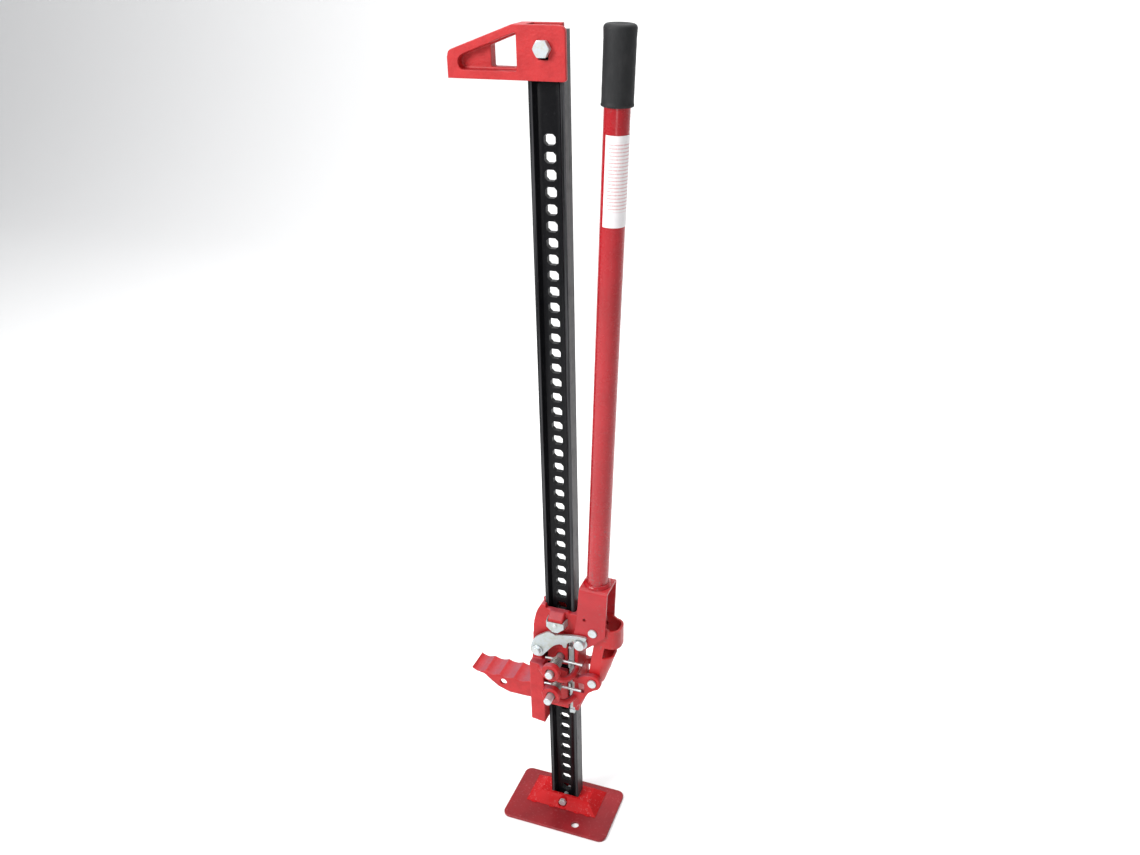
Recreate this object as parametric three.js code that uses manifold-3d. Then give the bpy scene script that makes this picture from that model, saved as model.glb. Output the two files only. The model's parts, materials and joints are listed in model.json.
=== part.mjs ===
// A high-lift farm jack: a holed steel rack on a foot plate, two castings that climb it on sprung
// pins, a lifting nose, a long pump handle and a clamp with a pulling nose at the top.
// Millimetres. +Z runs up the rack, -X is the lifting side, +X is the handle side, and the
// climbing pins face -Y. The origin is on the ground, under the middle of the rack.
import * as THREE from 'three';
import { mergeVertices } from 'three/addons/utils/BufferGeometryUtils.js';
import Module from 'manifold-3d';

const wasm = await Module();
wasm.setup();

// ---- driving dimensions ----
const PITCH = 21.8; // rack hole spacing
const HOLE_COUNT = 50;
const HOLE_TOP = 1097.5; // height of the uppermost hole
const HOLE_WIDTH = 15.5;
const HOLE_HEIGHT = 14;
const RACK_BOTTOM = 5.4;
const RACK_TOP = 1224.8;
const RACK_HALF_WIDTH = 23.3;
const RACK_HALF_DEPTH = 11.25;
const WEB_HALF = 4; // half the web's thickness
const WEB_FLAT = 14.3; // the web is flat as far as this either side
const FLANGE_LIP = 5; // flange thickness at its outer edge

const GAP = 0.35; // clearance between pieces that touch
const SLIP = 0.7; // clearance round the rack

const UPPER_HOLE = 36; // the rack hole that the upper climbing pin is in
const LOWER_HOLE = 38;
const PIN_TRAVEL = 8.2; // how far a climbing pin is drawn to clear the web
const PIN_RADIUS = 6;
const PIN_LENGTH = 70.7;
const PIN_TIP = 3.7; // y of an engaged pin's tip
const CROSS_PIN_Y = -25; // y of an engaged pin's cross pin
const CROSS_PIN_RADIUS = 1.9;
const CROSS_PIN_LEFT = -21;
const CROSS_PIN_RIGHT = 40;
const EYE_FRONT = -60; // front face of the eye that guides a climbing pin
const EYE_DEPTH = 10;
const EYE_RADIUS = 14.5;
const EYE_BORE = 7.2;

const FULCRUM = { x: 36.8, z: 353.2 }; // handle pivot on the large runner
const CRANK = { x: 56.3, z: 376.1 }; // pitman's upper pin, on the handle socket
const LOWER_PIVOT = { x: 56.3, z: 284 }; // pitman's lower pin, on the small runner
const LATCH_PIVOT = { x: -32.3, z: 326.7 };

const HANDLE_TILT = 2.45; // degrees that the parked handle leans out
const TUBE_RADIUS = 16.3;
const TUBE_WALL = 2.6;
const TUBE_OFFSET = 15.4; // tube axis from the fulcrum, square to the tube
const SOCKET_TOP = 100; // socket's top face above the fulcrum, along the tube
const TUBE_END = 874; // tube's upper end above the fulcrum
const GRIP_START = 789;
const GRIP_END = 881;
const GRIP_RADIUS = 20;
const LABEL = { low: 645, high: 757, from: -120, to: 15 }; // heights, and degrees round the tube
const SOCKET_INNER = 19.4; // half the space between the socket's plates
const PLATE = 4; // socket plate thickness
const LEG_OUTER = 19; // half the pitman's width
const LEG_WALL = 3.5;

const BASE_X = 89.3; // half the foot plate's length
const BASE_Y = 56.2; // half the foot plate's width
const BASE_MIDDLE = -16.4; // y of the foot plate's centre
const BASE_THICK = 5;
const BASE_CORNER = 12;

// ---- finishes ----
function finish(color, roughness, metalness) {
  return new THREE.MeshStandardMaterial({ color, roughness, metalness });
}
const redCasting = () => finish(0xc8282c, 0.45, 0.1);
const redTube = () => finish(0xc41e2a, 0.3, 0.1);
const redPlate = () => finish(0xa8262e, 0.4, 0.1);
const blackPaint = () => finish(0x14151a, 0.35, 0.2);
const zinc = () => finish(0xbcc4c8, 0.35, 0.9);
const springSteel = () => finish(0x8a8f94, 0.4, 0.9);
const rubber = () => finish(0x2c2e31, 0.8, 0);
const paper = () => finish(0xf2efee, 0.6, 0);

// ---- solids ----
function toSolid(geometry) {
  const bare = geometry.index ? geometry.toNonIndexed() : geometry.clone();
  bare.deleteAttribute('normal');
  bare.deleteAttribute('uv');
  const merged = mergeVertices(bare, 1e-4);
  const mesh = new wasm.Mesh({
    numProp: 3,
    vertProperties: new Float32Array(merged.attributes.position.array),
    triVerts: new Uint32Array(merged.index.array),
  });
  const body = new wasm.Manifold(mesh);
  if (body.volume() <= 0) throw new Error('a solid is inside out');
  return body;
}

function toGeometry(body) {
  const { vertProperties, triVerts } = body.getMesh();
  const geometry = new THREE.BufferGeometry();
  geometry.setAttribute('position', new THREE.BufferAttribute(new Float32Array(vertProperties), 3));
  geometry.setIndex(new THREE.BufferAttribute(new Uint32Array(triVerts), 1));
  geometry.computeVertexNormals();
  return geometry;
}

const join = (...bodies) => bodies.reduce((whole, body) => whole.add(body));
const cut = (body, ...tools) => tools.reduce((rest, tool) => rest.subtract(tool), body);

function box(x, y, z) {
  const block = new THREE.BoxGeometry(x[1] - x[0], y[1] - y[0], z[1] - z[0]);
  return toSolid(block.translate((x[0] + x[1]) / 2, (y[0] + y[1]) / 2, (z[0] + z[1]) / 2));
}

// A round bar along Y.
function barY(radius, y, x, z, sides = 20) {
  const bar = new THREE.CylinderGeometry(radius, radius, y[1] - y[0], sides);
  return toSolid(bar.translate(x, (y[0] + y[1]) / 2, z));
}

// A round bar along X.
function barX(radius, x, y, z, sides = 12) {
  const bar = new THREE.CylinderGeometry(radius, radius, x[1] - x[0], sides).rotateZ(Math.PI / 2);
  return toSolid(bar.translate((x[0] + x[1]) / 2, y, z));
}

// A round bar along Z.
function barZ(radius, z, x, y, sides = 20) {
  const bar = new THREE.CylinderGeometry(radius, radius, z[1] - z[0], sides).rotateX(Math.PI / 2);
  return toSolid(bar.translate(x, y, (z[0] + z[1]) / 2));
}

// A hexagon bar along Y, flats across the given distance.
function hexY(acrossFlats, y, x, z) {
  return barY(acrossFlats / Math.sqrt(3), y, x, z, 6);
}

function shapeOf(points) {
  return new THREE.Shape(points.map(([a, b]) => new THREE.Vector2(a, b)));
}

// An outline in X and Z, extruded along Y.
function slabY(outline, y, curveSegments = 6) {
  const shape = Array.isArray(outline) ? shapeOf(outline) : outline;
  const slab = new THREE.ExtrudeGeometry(shape, { depth: y[1] - y[0], bevelEnabled: false, curveSegments });
  return toSolid(slab.rotateX(Math.PI / 2).translate(0, y[1], 0));
}

// An outline in X and Y, extruded along Z.
function slabZ(outline, z, curveSegments = 6) {
  const shape = Array.isArray(outline) ? shapeOf(outline) : outline;
  const slab = new THREE.ExtrudeGeometry(shape, { depth: z[1] - z[0], bevelEnabled: false, curveSegments });
  return toSolid(slab.translate(0, 0, z[0]));
}

// A four-sided frustum: a low rectangle and a high one, each [x0, x1, y0, y1].
function frustum(low, high, z) {
  const block = new THREE.BoxGeometry(1, 1, 1);
  const place = block.attributes.position;
  for (let i = 0; i < place.count; i += 1) {
    const side = place.getZ(i) > 0 ? high : low;
    const x = place.getX(i) > 0 ? side[1] : side[0];
    const y = place.getY(i) > 0 ? side[3] : side[2];
    place.setXYZ(i, x, y, place.getZ(i) > 0 ? z[1] : z[0]);
  }
  return toSolid(block);
}

// A round section swept along a curve.
function sweep(extrudePath, radius, steps, sides) {
  const ring = Array.from({ length: sides }, (_, i) => {
    const turn = ((i + 0.5) / sides) * 2 * Math.PI;
    return [radius * Math.cos(turn), radius * Math.sin(turn)];
  });
  return toSolid(new THREE.ExtrudeGeometry(shapeOf(ring), { steps, extrudePath, bevelEnabled: false }));
}

// A round rib that follows a smooth path.
function rib(points, radius, steps = 8) {
  return sweep(new THREE.CatmullRomCurve3(points.map((p) => new THREE.Vector3(...p))), radius, steps, 8);
}

function roundedRectangle(x, y, corner) {
  const shape = new THREE.Shape();
  shape.moveTo(x[0] + corner, y[0]);
  shape.lineTo(x[1] - corner, y[0]);
  shape.absarc(x[1] - corner, y[0] + corner, corner, -Math.PI / 2, 0);
  shape.lineTo(x[1], y[1] - corner);
  shape.absarc(x[1] - corner, y[1] - corner, corner, 0, Math.PI / 2);
  shape.lineTo(x[0] + corner, y[1]);
  shape.absarc(x[0] + corner, y[1] - corner, corner, Math.PI / 2, Math.PI);
  shape.lineTo(x[0], y[0] + corner);
  shape.absarc(x[0] + corner, y[0] + corner, corner, Math.PI, 1.5 * Math.PI);
  return shape;
}

// ---- the object ----
const jack = new THREE.Group();

function addPiece(name, body, material, parent = jack) {
  const mesh = new THREE.Mesh(toGeometry(body), material);
  mesh.name = name;
  parent.add(mesh);
}

const holeHeight = (index) => HOLE_TOP - PITCH * index;
const UPPER_PIN_Z = holeHeight(UPPER_HOLE);
const LOWER_PIN_Z = holeHeight(LOWER_HOLE);

// ---- rack ----
const CLAMP_BOLT_Z = 1205;
const CLAMP_BOLT_RADIUS = 6;
const BASE_BOLT_Z = 13.2;
const BASE_BOLT_RADIUS = 4;
const HOLE_CORNER = 3.5; // cut across each corner of a rack hole

function makeRack() {
  const section = [
    [-RACK_HALF_WIDTH, -RACK_HALF_DEPTH],
    [-RACK_HALF_WIDTH + FLANGE_LIP, -RACK_HALF_DEPTH],
    [-WEB_FLAT, -WEB_HALF],
    [WEB_FLAT, -WEB_HALF],
    [RACK_HALF_WIDTH - FLANGE_LIP, -RACK_HALF_DEPTH],
    [RACK_HALF_WIDTH, -RACK_HALF_DEPTH],
  ];
  const bar = slabZ([...section, ...section.map(([x, y]) => [-x, -y])], [RACK_BOTTOM, RACK_TOP]);
  const corner = HOLE_CORNER;
  const w = HOLE_WIDTH / 2;
  const h = HOLE_HEIGHT / 2;
  const hole = [
    [w, corner - h],
    [w, h - corner],
    [w - corner, h],
    [corner - w, h],
    [-w, h - corner],
    [-w, corner - h],
    [corner - w, -h],
    [w - corner, -h],
  ];
  const through = [-WEB_HALF - 1, WEB_HALF + 1];
  const holes = Array.from({ length: HOLE_COUNT }, (_, i) =>
    slabY(hole.map(([x, z]) => [x, z + holeHeight(i)]), through));
  const clampHole = barY(CLAMP_BOLT_RADIUS + GAP, through, 0, CLAMP_BOLT_Z, 12);
  const baseHole = barY(BASE_BOLT_RADIUS + GAP, through, 0, BASE_BOLT_Z, 12);
  return cut(bar, join(...holes, clampHole, baseHole));
}
addPiece('rack_bar', makeRack(), blackPaint());

// ---- foot plate and the pocket that holds the rack ----
const ANCHOR_HOLE = { x: 33.4, y: -54.5, radius: 6.3 };
const POCKET_TOP = 20.5;
const POCKET_WALL = 3.2;
const POCKET_LOW = [-62, 60, -31, 28];
const POCKET_HIGH = [-41, 43, -15.6, 15.6];
const BASE_BOLT_FLAT = { front: -21, back: 17.8 };
const BOLT_BOSS = 7.2; // radius of the flat that the bolt head and the nut sit on

function makeBasePlate() {
  const y = [BASE_MIDDLE - BASE_Y, BASE_MIDDLE + BASE_Y];
  const plate = slabZ(roundedRectangle([-BASE_X, BASE_X], y, BASE_CORNER), [0, BASE_THICK], 4);
  return cut(plate, barZ(ANCHOR_HOLE.radius, [-1, BASE_THICK + 1], ANCHOR_HOLE.x, ANCHOR_HOLE.y, 16));
}
addPiece('base_plate', makeBasePlate(), redPlate());

function makeBasePocket() {
  const foot = BASE_THICK + GAP;
  const inset = (side, by) => [side[0] + by, side[1] - by, side[2] + by, side[3] - by];
  const shell = frustum(POCKET_LOW, POCKET_HIGH, [foot, POCKET_TOP]);
  const inside = frustum(
    inset(POCKET_LOW, POCKET_WALL + 1),
    inset(POCKET_HIGH, POCKET_WALL),
    [foot - 1, POCKET_TOP - POCKET_WALL],
  );
  const slotX = [-RACK_HALF_WIDTH - GAP, RACK_HALF_WIDTH + GAP];
  const slotY = [-RACK_HALF_DEPTH - GAP, RACK_HALF_DEPTH + GAP];
  const slot = box(slotX, slotY, [0, POCKET_TOP + 1]);
  const round = (radius, y) => barY(radius, y, 0, BASE_BOLT_Z, 24);
  const bosses = [
    round(BOLT_BOSS, [BASE_BOLT_FLAT.front, slotY[0]]),
    round(BOLT_BOSS, [slotY[1], BASE_BOLT_FLAT.back]),
  ];
  const faces = [
    round(BOLT_BOSS + GAP, [POCKET_LOW[2] - 1, BASE_BOLT_FLAT.front]),
    round(BOLT_BOSS + GAP, [BASE_BOLT_FLAT.back, POCKET_LOW[3] + 1]),
  ];
  const hole = barY(BASE_BOLT_RADIUS + GAP, [-30, 30], 0, BASE_BOLT_Z, 12);
  return cut(join(cut(shell, inside), ...bosses), slot, ...faces, hole);
}
addPiece('base_pocket', makeBasePocket(), redPlate());

function makeBolt(radius, head, headDepth, y, x, z) {
  return join(hexY(head, [y[0] - headDepth, y[0]], x, z), barY(radius, y, x, z, 12));
}
function makeNut(acrossFlats, boltRadius, y, x, z) {
  return cut(hexY(acrossFlats, y, x, z), barY(boltRadius + GAP, [y[0] - 1, y[1] + 1], x, z, 12));
}
const baseBoltFront = BASE_BOLT_FLAT.front - GAP;
const baseBoltBack = BASE_BOLT_FLAT.back + GAP;
const baseBoltY = [baseBoltFront, baseBoltBack + 9];
const baseNutY = [baseBoltBack, baseBoltBack + 6.5];
addPiece('base_bolt', makeBolt(BASE_BOLT_RADIUS, 11, 5, baseBoltY, 0, BASE_BOLT_Z), zinc());
addPiece('base_nut', makeNut(12, BASE_BOLT_RADIUS, baseNutY, 0, BASE_BOLT_Z), zinc());

// ---- top clamp with its pulling nose ----
const CLAMP_HALF = 18; // half the clamp's depth
const CLAMP_WEB_HALF = 7; // half the thickness between the nose's two recesses
const CLAMP_LOW = 1168;
const CLAMP_HIGH = 1231;
const CLAMP_RIGHT = 28.5;
const CLAMP_BACK_RIGHT = 14; // the back cheek is shorter

function makeTopClamp() {
  const outline = new THREE.Shape();
  outline.moveTo(-126, CLAMP_LOW);
  outline.lineTo(CLAMP_RIGHT - 3, CLAMP_LOW);
  outline.quadraticCurveTo(CLAMP_RIGHT, CLAMP_LOW, CLAMP_RIGHT, CLAMP_LOW + 3);
  outline.lineTo(CLAMP_RIGHT, CLAMP_HIGH - 9);
  outline.quadraticCurveTo(CLAMP_RIGHT, CLAMP_HIGH, CLAMP_RIGHT - 9, CLAMP_HIGH);
  outline.lineTo(-40, CLAMP_HIGH);
  outline.lineTo(-119, 1202.5);
  outline.quadraticCurveTo(-126, 1200, -126, 1193);
  const cheek = slabY(outline, [-CLAMP_HALF, CLAMP_HALF], 4);
  const slotY = [-RACK_HALF_DEPTH - SLIP, RACK_HALF_DEPTH + SLIP];
  const slot = box([-RACK_HALF_WIDTH - SLIP, CLAMP_RIGHT + 5], slotY, [CLAMP_LOW - 5, CLAMP_HIGH + 5]);
  const window = slabY([[-72, 1181.5], [-36.5, 1181.5], [-37, 1219.5], [-72, 1206.5]], [-30, 30]);
  const recess = new THREE.Shape();
  recess.moveTo(-105, 1178.5);
  recess.lineTo(-34.5, 1178.5);
  recess.lineTo(-34.5, 1222.5);
  recess.lineTo(-103, 1197.3);
  recess.quadraticCurveTo(-111.5, 1194, -111.5, 1188);
  recess.quadraticCurveTo(-111.5, 1178.5, -105, 1178.5);
  const pockets = [
    slabY(recess, [-CLAMP_HALF - 1, -CLAMP_WEB_HALF], 4),
    slabY(recess, [CLAMP_WEB_HALF, CLAMP_HALF + 1], 4),
  ];
  const squareSlot = box([-6.3, 6.3], [-CLAMP_HALF - 1, -10], [1192, CLAMP_BOLT_Z]);
  const hole = barY(CLAMP_BOLT_RADIUS + GAP, [-30, 30], 0, CLAMP_BOLT_Z, 16);
  const backEnd = box([CLAMP_BACK_RIGHT, CLAMP_RIGHT + 5], [0, 40], [CLAMP_LOW - 5, CLAMP_HIGH + 5]);
  return cut(cheek, slot, window, ...pockets, squareSlot, hole, backEnd);
}
addPiece('top_clamp', makeTopClamp(), redCasting());

const clampFace = CLAMP_HALF + GAP;
const WASHER = 2;
function makeWasher(radius, bore, y, x, z) {
  return cut(barY(radius, y, x, z, 18), barY(bore, [y[0] - 1, y[1] + 1], x, z, 12));
}
const clampWasherY = [clampFace, clampFace + WASHER];
const clampNutY = [clampFace + WASHER + GAP, clampFace + WASHER + GAP + 10];
const clampBoltY = [-clampFace, clampFace + 16];
addPiece('clamp_bolt', makeBolt(CLAMP_BOLT_RADIUS, 19, 7.5, clampBoltY, 0, CLAMP_BOLT_Z), zinc());
addPiece('clamp_washer', makeWasher(12, CLAMP_BOLT_RADIUS + GAP, clampWasherY, 0, CLAMP_BOLT_Z), zinc());
addPiece('clamp_nut', makeNut(19, CLAMP_BOLT_RADIUS, clampNutY, 0, CLAMP_BOLT_Z), zinc());

// ---- shared parts of the two runners ----
// The eye that a climbing pin slides in, and the two arms that carry it ahead of the casting.
function makeBow(pinZ, leftEnd) {
  const eyeMiddle = EYE_FRONT + EYE_DEPTH / 2;
  const eye = barY(EYE_RADIUS, [EYE_FRONT, EYE_FRONT + EYE_DEPTH], 0, pinZ, 24);
  const right = rib([
    [7, eyeMiddle, pinZ - 8.5],
    [17, -47, pinZ - 17.5],
    [26, -33, pinZ - 17.5],
    [27.5, -17, pinZ - 15.5],
  ], 5.2);
  const left = rib([[-6, eyeMiddle, pinZ - 6], [-14, -48, pinZ - 8], leftEnd], 6.5, 6);
  return join(eye, right, left);
}
const eyeBore = (pinZ) => barY(EYE_BORE, [EYE_FRONT - 2, EYE_FRONT + EYE_DEPTH + 8], 0, pinZ, 20);
const springRoom = (pinZ) => barY(9.8, [EYE_FRONT + EYE_DEPTH, -22], 0, pinZ, 20);
const guideBore = (pinZ) => barY(PIN_RADIUS + 0.6, [-34, 0], 0, pinZ, 16);

// ---- large runner ----
const RUNNER_BACK = 26; // y of the large runner's back face
const COLLAR_TOP = 402;
const COLLAR_LOW = 330;
const WALL_LOW = 187; // bottom of the left-hand leg
const LEDGE = 303; // top of the leg's front flange
const SIDE = RACK_HALF_WIDTH + SLIP;
const FACE = RACK_HALF_DEPTH + SLIP + 0.4;
const RIGHT_WALL = 31;
const CHEEK_HALF = SOCKET_INNER - 0.5; // half the width of the collar's right-hand wall
const LUG_HALF = LEG_OUTER - LEG_WALL - 0.4; // the handle lug stands between the pitman's legs
const BUSH_RADIUS = 9;
const STRAP_SLOT = { x: [13.6, 24.5], top: 360 };
const SHEAR_BOLT_RADIUS = 6;
const LATCH_BOLT_RADIUS = 5;
const RIVET = { radius: 2, z: 383.5 };
const DETENT = { half: 12.2, front: -33, low: 378.5 }; // the cast lug that the clip grips
const NOSE_HALF = 21; // half the lifting nose's width
const NOSE_WALL = 5.5; // the nose is open underneath
const NOSE_TIP = -154.5;
const NOSE_HOLE = { radius: 5.5, x: -97.9, z: 238.5 };

function nosePoints() {
  const points = [
    [-40, 222], [-60, 220.5], [-88, 220.5], [-107, 227], [-120, 236.5],
    [-131, 246], [-145, 248.5], [-152, 252], [NOSE_TIP, 256.5],
  ];
  const crests = 4;
  const scallop = 25;
  const stepsPerScallop = 5;
  const tread = (x) => {
    const phase = (((x - NOSE_TIP) / scallop) % 1) * 2 - 1;
    const lift = x < -140 ? (-140 - x) * 0.12 : 0;
    return 249.2 + 3.6 * phase * phase + lift;
  };
  for (let i = 1; i < crests * stepsPerScallop; i += 1) {
    const x = NOSE_TIP + (i * scallop) / stepsPerScallop;
    points.push([x, tread(x)]);
  }
  points.push([-54, 252.8], [-40, 252.8]);
  return points.reverse();
}

function makeLargeRunner() {
  const left = new THREE.Shape();
  left.moveTo(-29, WALL_LOW);
  left.lineTo(-45.5, WALL_LOW + 3);
  left.lineTo(-45.5, LEDGE);
  left.lineTo(-43.5, 338);
  left.lineTo(-41, 372);
  left.lineTo(-37, 388);
  left.quadraticCurveTo(-33.5, 400, -26, COLLAR_TOP + 6);
  left.lineTo(-20, COLLAR_TOP + 6);
  left.lineTo(-20, COLLAR_LOW);
  left.lineTo(-29, COLLAR_LOW - 8);
  const collar = join(
    slabY(left, [-20, RUNNER_BACK]),
    box([-30, 17], [-20, 20], [COLLAR_LOW, COLLAR_TOP]),
    box([16, RIGHT_WALL], [-CHEEK_HALF, CHEEK_HALF], [COLLAR_LOW, COLLAR_TOP - 2]),
    box([SIDE, RIGHT_WALL], [-CHEEK_HALF, CHEEK_HALF], [291, COLLAR_LOW + 1]),
    box([-40, 10], [20, RUNNER_BACK], [WALL_LOW + 8, COLLAR_TOP - 12]),
    box([-21.3, 12.6], [-16, -FACE], [298, COLLAR_LOW + 1]),
  );
  const flangeOutline = [[-21.9, WALL_LOW], [-21.9, LEDGE], [-45.5, LEDGE], [-45.5, WALL_LOW + 3]];
  const flange = slabY(flangeOutline, [-33, -FACE]);
  const noseInside = [[-52, 200], [-52, 244], [-134, 244], [-140, 238], [-140, 200]];
  const noseRoom = slabY(noseInside, [NOSE_WALL - NOSE_HALF, NOSE_HALF - NOSE_WALL]);
  const nose = cut(slabY(nosePoints(), [-NOSE_HALF, NOSE_HALF]), noseRoom);
  const lug = join(
    barY(12.5, [-LUG_HALF, LUG_HALF], FULCRUM.x, FULCRUM.z, 24),
    slabY([[26, 338], [41, 344], [46.5, 361], [26, 372]], [-LUG_HALF, LUG_HALF]),
  );
  const boss = barY(11.5, [-24.6, -19], LATCH_PIVOT.x, LATCH_PIVOT.z, 20);
  const wedge = box([-DETENT.half, DETENT.half], [DETENT.front, -19], [DETENT.low, COLLAR_TOP]);
  const slope = new THREE.BoxGeometry(40, 30, 20).rotateX(0.745).translate(0, -37.2, 402.8);
  const detentLug = cut(wedge, toSolid(slope));
  const bow = makeBow(UPPER_PIN_Z, [-27, -30, 297]);
  const rackSpace = box([-SIDE, SIDE], [-FACE, RACK_HALF_DEPTH + SLIP], [150, 450]);
  const strapSlot = box(STRAP_SLOT.x, [-40, -FACE + 1], [200, STRAP_SLOT.top]);
  const strapSlotBelowBow = box(STRAP_SLOT.x, [-22, -FACE + 1], [200, STRAP_SLOT.top]);
  const noseHole = barY(NOSE_HOLE.radius, [-30, 30], NOSE_HOLE.x, NOSE_HOLE.z, 16);
  const bores = [
    barY(BUSH_RADIUS + GAP, [-30, 30], FULCRUM.x, FULCRUM.z, 20),
    barY(LATCH_BOLT_RADIUS + GAP, [-40, 40], LATCH_PIVOT.x, LATCH_PIVOT.z, 14),
    barY(RIVET.radius + GAP, [-40, -14], 0, RIVET.z, 10),
  ];
  const smallRunnerRoom = box([-29, RIGHT_WALL + 40], [-FACE - 40, 20], [WALL_LOW - 5, 290.3]);
  const body = cut(
    join(cut(join(collar, flange), strapSlot), nose, lug, boss, detentLug),
    rackSpace,
  );
  const opened = cut(body, cut(smallRunnerRoom, box([-60, -21.9], [-60, -FACE], [100, 400])));
  return cut(
    join(opened, cut(bow, strapSlotBelowBow, rackSpace)),
    eyeBore(UPPER_PIN_Z),
    springRoom(UPPER_PIN_Z),
    guideBore(UPPER_PIN_Z),
    noseHole,
    ...bores,
  );
}
addPiece('large_runner_casting', makeLargeRunner(), redCasting());

// ---- handle pivot hardware ----
const socketFace = SOCKET_INNER + PLATE + GAP;
const shearBore = SHEAR_BOLT_RADIUS + GAP;
const PIVOT_WASHER = 1.3;
const pivotWasherY = [-socketFace - PIVOT_WASHER, -socketFace];
const boltHeadY = pivotWasherY[0] - GAP;
const bushY = [-LUG_HALF, LUG_HALF];
addPiece('pivot_bushing', makeWasher(BUSH_RADIUS, shearBore, bushY, FULCRUM.x, FULCRUM.z), springSteel());
addPiece('pivot_washer', makeWasher(11, shearBore, pivotWasherY, FULCRUM.x, FULCRUM.z), zinc());
addPiece('shear_bolt', join(
  barY(8.4, [boltHeadY - 8, boltHeadY], FULCRUM.x, FULCRUM.z, 20),
  barY(SHEAR_BOLT_RADIUS, [boltHeadY, socketFace + 14], FULCRUM.x, FULCRUM.z, 14),
), zinc());
const shearNutY = [socketFace, socketFace + 9];
addPiece('shear_bolt_nut', makeNut(18, SHEAR_BOLT_RADIUS, shearNutY, FULCRUM.x, FULCRUM.z), zinc());

// ---- detent clip that holds the latch up or down ----
const CLIP_SHEET = 1.4;
const CLIP_IN = DETENT.half + GAP;
const clipFront = DETENT.front - GAP;
function makeClipFront() {
  const outline = [[13.9, 389], [13.9, 380], [4, 371.5], [-4, 371.5], [-13.9, 380], [-13.9, 389]];
  return slabY(outline, [clipFront - CLIP_SHEET, clipFront]);
}
function wingSolid(side) {
  const inner = side * CLIP_IN;
  const outer = side * (CLIP_IN + CLIP_SHEET);
  const front = clipFront - 0.5;
  const flare = side * 2;
  const points = [[inner, front], [outer, front], [outer + flare, -21], [inner + flare, -21]];
  return slabZ(side > 0 ? points : points.reverse(), [379, 391]);
}
addPiece('detent_clip', cut(
  join(makeClipFront(), wingSolid(-1), wingSolid(1)),
  barY(RIVET.radius + GAP, [-40, -14], 0, RIVET.z, 10),
), zinc());
const rivetHeadY = clipFront - CLIP_SHEET - GAP;
addPiece('clip_rivet', join(
  barY(3.4, [rivetHeadY - 1.4, rivetHeadY], 0, RIVET.z, 12),
  barY(RIVET.radius, [rivetHeadY, -21], 0, RIVET.z, 8),
), zinc());

// ---- reversing latch ----
const LATCH_BACK = -25.4;
const LATCH_FRONT = -29.4;
function makeLatch() {
  const shape = new THREE.Shape();
  shape.moveTo(-12.6, 332.9);
  shape.quadraticCurveTo(-5, 344, 5, 347);
  shape.lineTo(8.8, 346.5);
  shape.quadraticCurveTo(12, 339.5, 15.2, 343);
  shape.lineTo(16.8, 351);
  shape.lineTo(25.5, 357.5);
  shape.absarc(FULCRUM.x, FULCRUM.z, 10.4, Math.PI * 0.86, Math.PI * 0.25, true);
  shape.lineTo(47.4, 364.5);
  shape.quadraticCurveTo(49, 368.4, 45.5, 368.6);
  shape.lineTo(33, 368.6);
  shape.quadraticCurveTo(14, 366.5, -2, 362);
  shape.quadraticCurveTo(-10, 367.5, -17, 363.6);
  shape.lineTo(-30, 354.5);
  shape.quadraticCurveTo(-40.5, 347, -43.6, 330);
  shape.absarc(LATCH_PIVOT.x, LATCH_PIVOT.z, 11.5, Math.PI * 0.92, Math.PI * 1.78, false);
  const plate = slabY(shape, [LATCH_FRONT, LATCH_BACK], 5);
  return cut(plate, barY(LATCH_BOLT_RADIUS + GAP, [-40, 0], LATCH_PIVOT.x, LATCH_PIVOT.z, 14));
}
addPiece('reversing_latch', makeLatch(), zinc());
const latchFace = LATCH_FRONT - GAP;
addPiece('latch_pivot_bolt', join(
  barY(9, [latchFace - 1.5, latchFace], LATCH_PIVOT.x, LATCH_PIVOT.z, 18),
  hexY(11, [latchFace - 6, latchFace - 1.4], LATCH_PIVOT.x, LATCH_PIVOT.z),
  barY(LATCH_BOLT_RADIUS, [latchFace - 1.5, RUNNER_BACK + 8], LATCH_PIVOT.x, LATCH_PIVOT.z, 12),
), zinc());
const latchNutY = [RUNNER_BACK + GAP, RUNNER_BACK + GAP + 6];
addPiece('latch_pivot_nut', makeNut(14, LATCH_BOLT_RADIUS, latchNutY, LATCH_PIVOT.x, LATCH_PIVOT.z), zinc());

// ---- release strap with a hook for each cross pin ----
const STRAP_Y = [-15.4, -12.7];
function makeStrap() {
  const bar = slabY([[14.4, 206], [22.6, 206], [22.6, 341], [20.6, 345], [16.4, 345], [14.4, 341]], STRAP_Y);
  const hooks = [UPPER_PIN_Z, LOWER_PIN_Z].map((z) =>
    slabY([[14.4, z - 15], [18, z - 15], [18, z - 4], [14.4, z - 1]], [-20.2, STRAP_Y[0] + 0.5]));
  const foot = box([14.4, 22.6], [-17.6, STRAP_Y[0] + 0.5], [206, 213]);
  return join(bar, ...hooks, foot);
}
addPiece('release_strap', makeStrap(), zinc());
addPiece('strap_peg', barY(2.6, [-24, STRAP_Y[0] - GAP], 19.2, 339.5, 12), zinc());

// ---- climbing pins, their cross pins and springs ----
function makeSpring(y, z) {
  const turns = 5;
  const coil = 8.1;
  const wire = 0.95;
  const steps = turns * 10;
  class Helix extends THREE.Curve {
    getPoint(t) {
      const turn = t * turns * 2 * Math.PI;
      const along = y[0] + wire + (y[1] - y[0] - 2 * wire) * t;
      return new THREE.Vector3(coil * Math.cos(turn), along, z + coil * Math.sin(turn));
    }
  }
  return sweep(new Helix(), wire, steps, 6);
}

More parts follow.
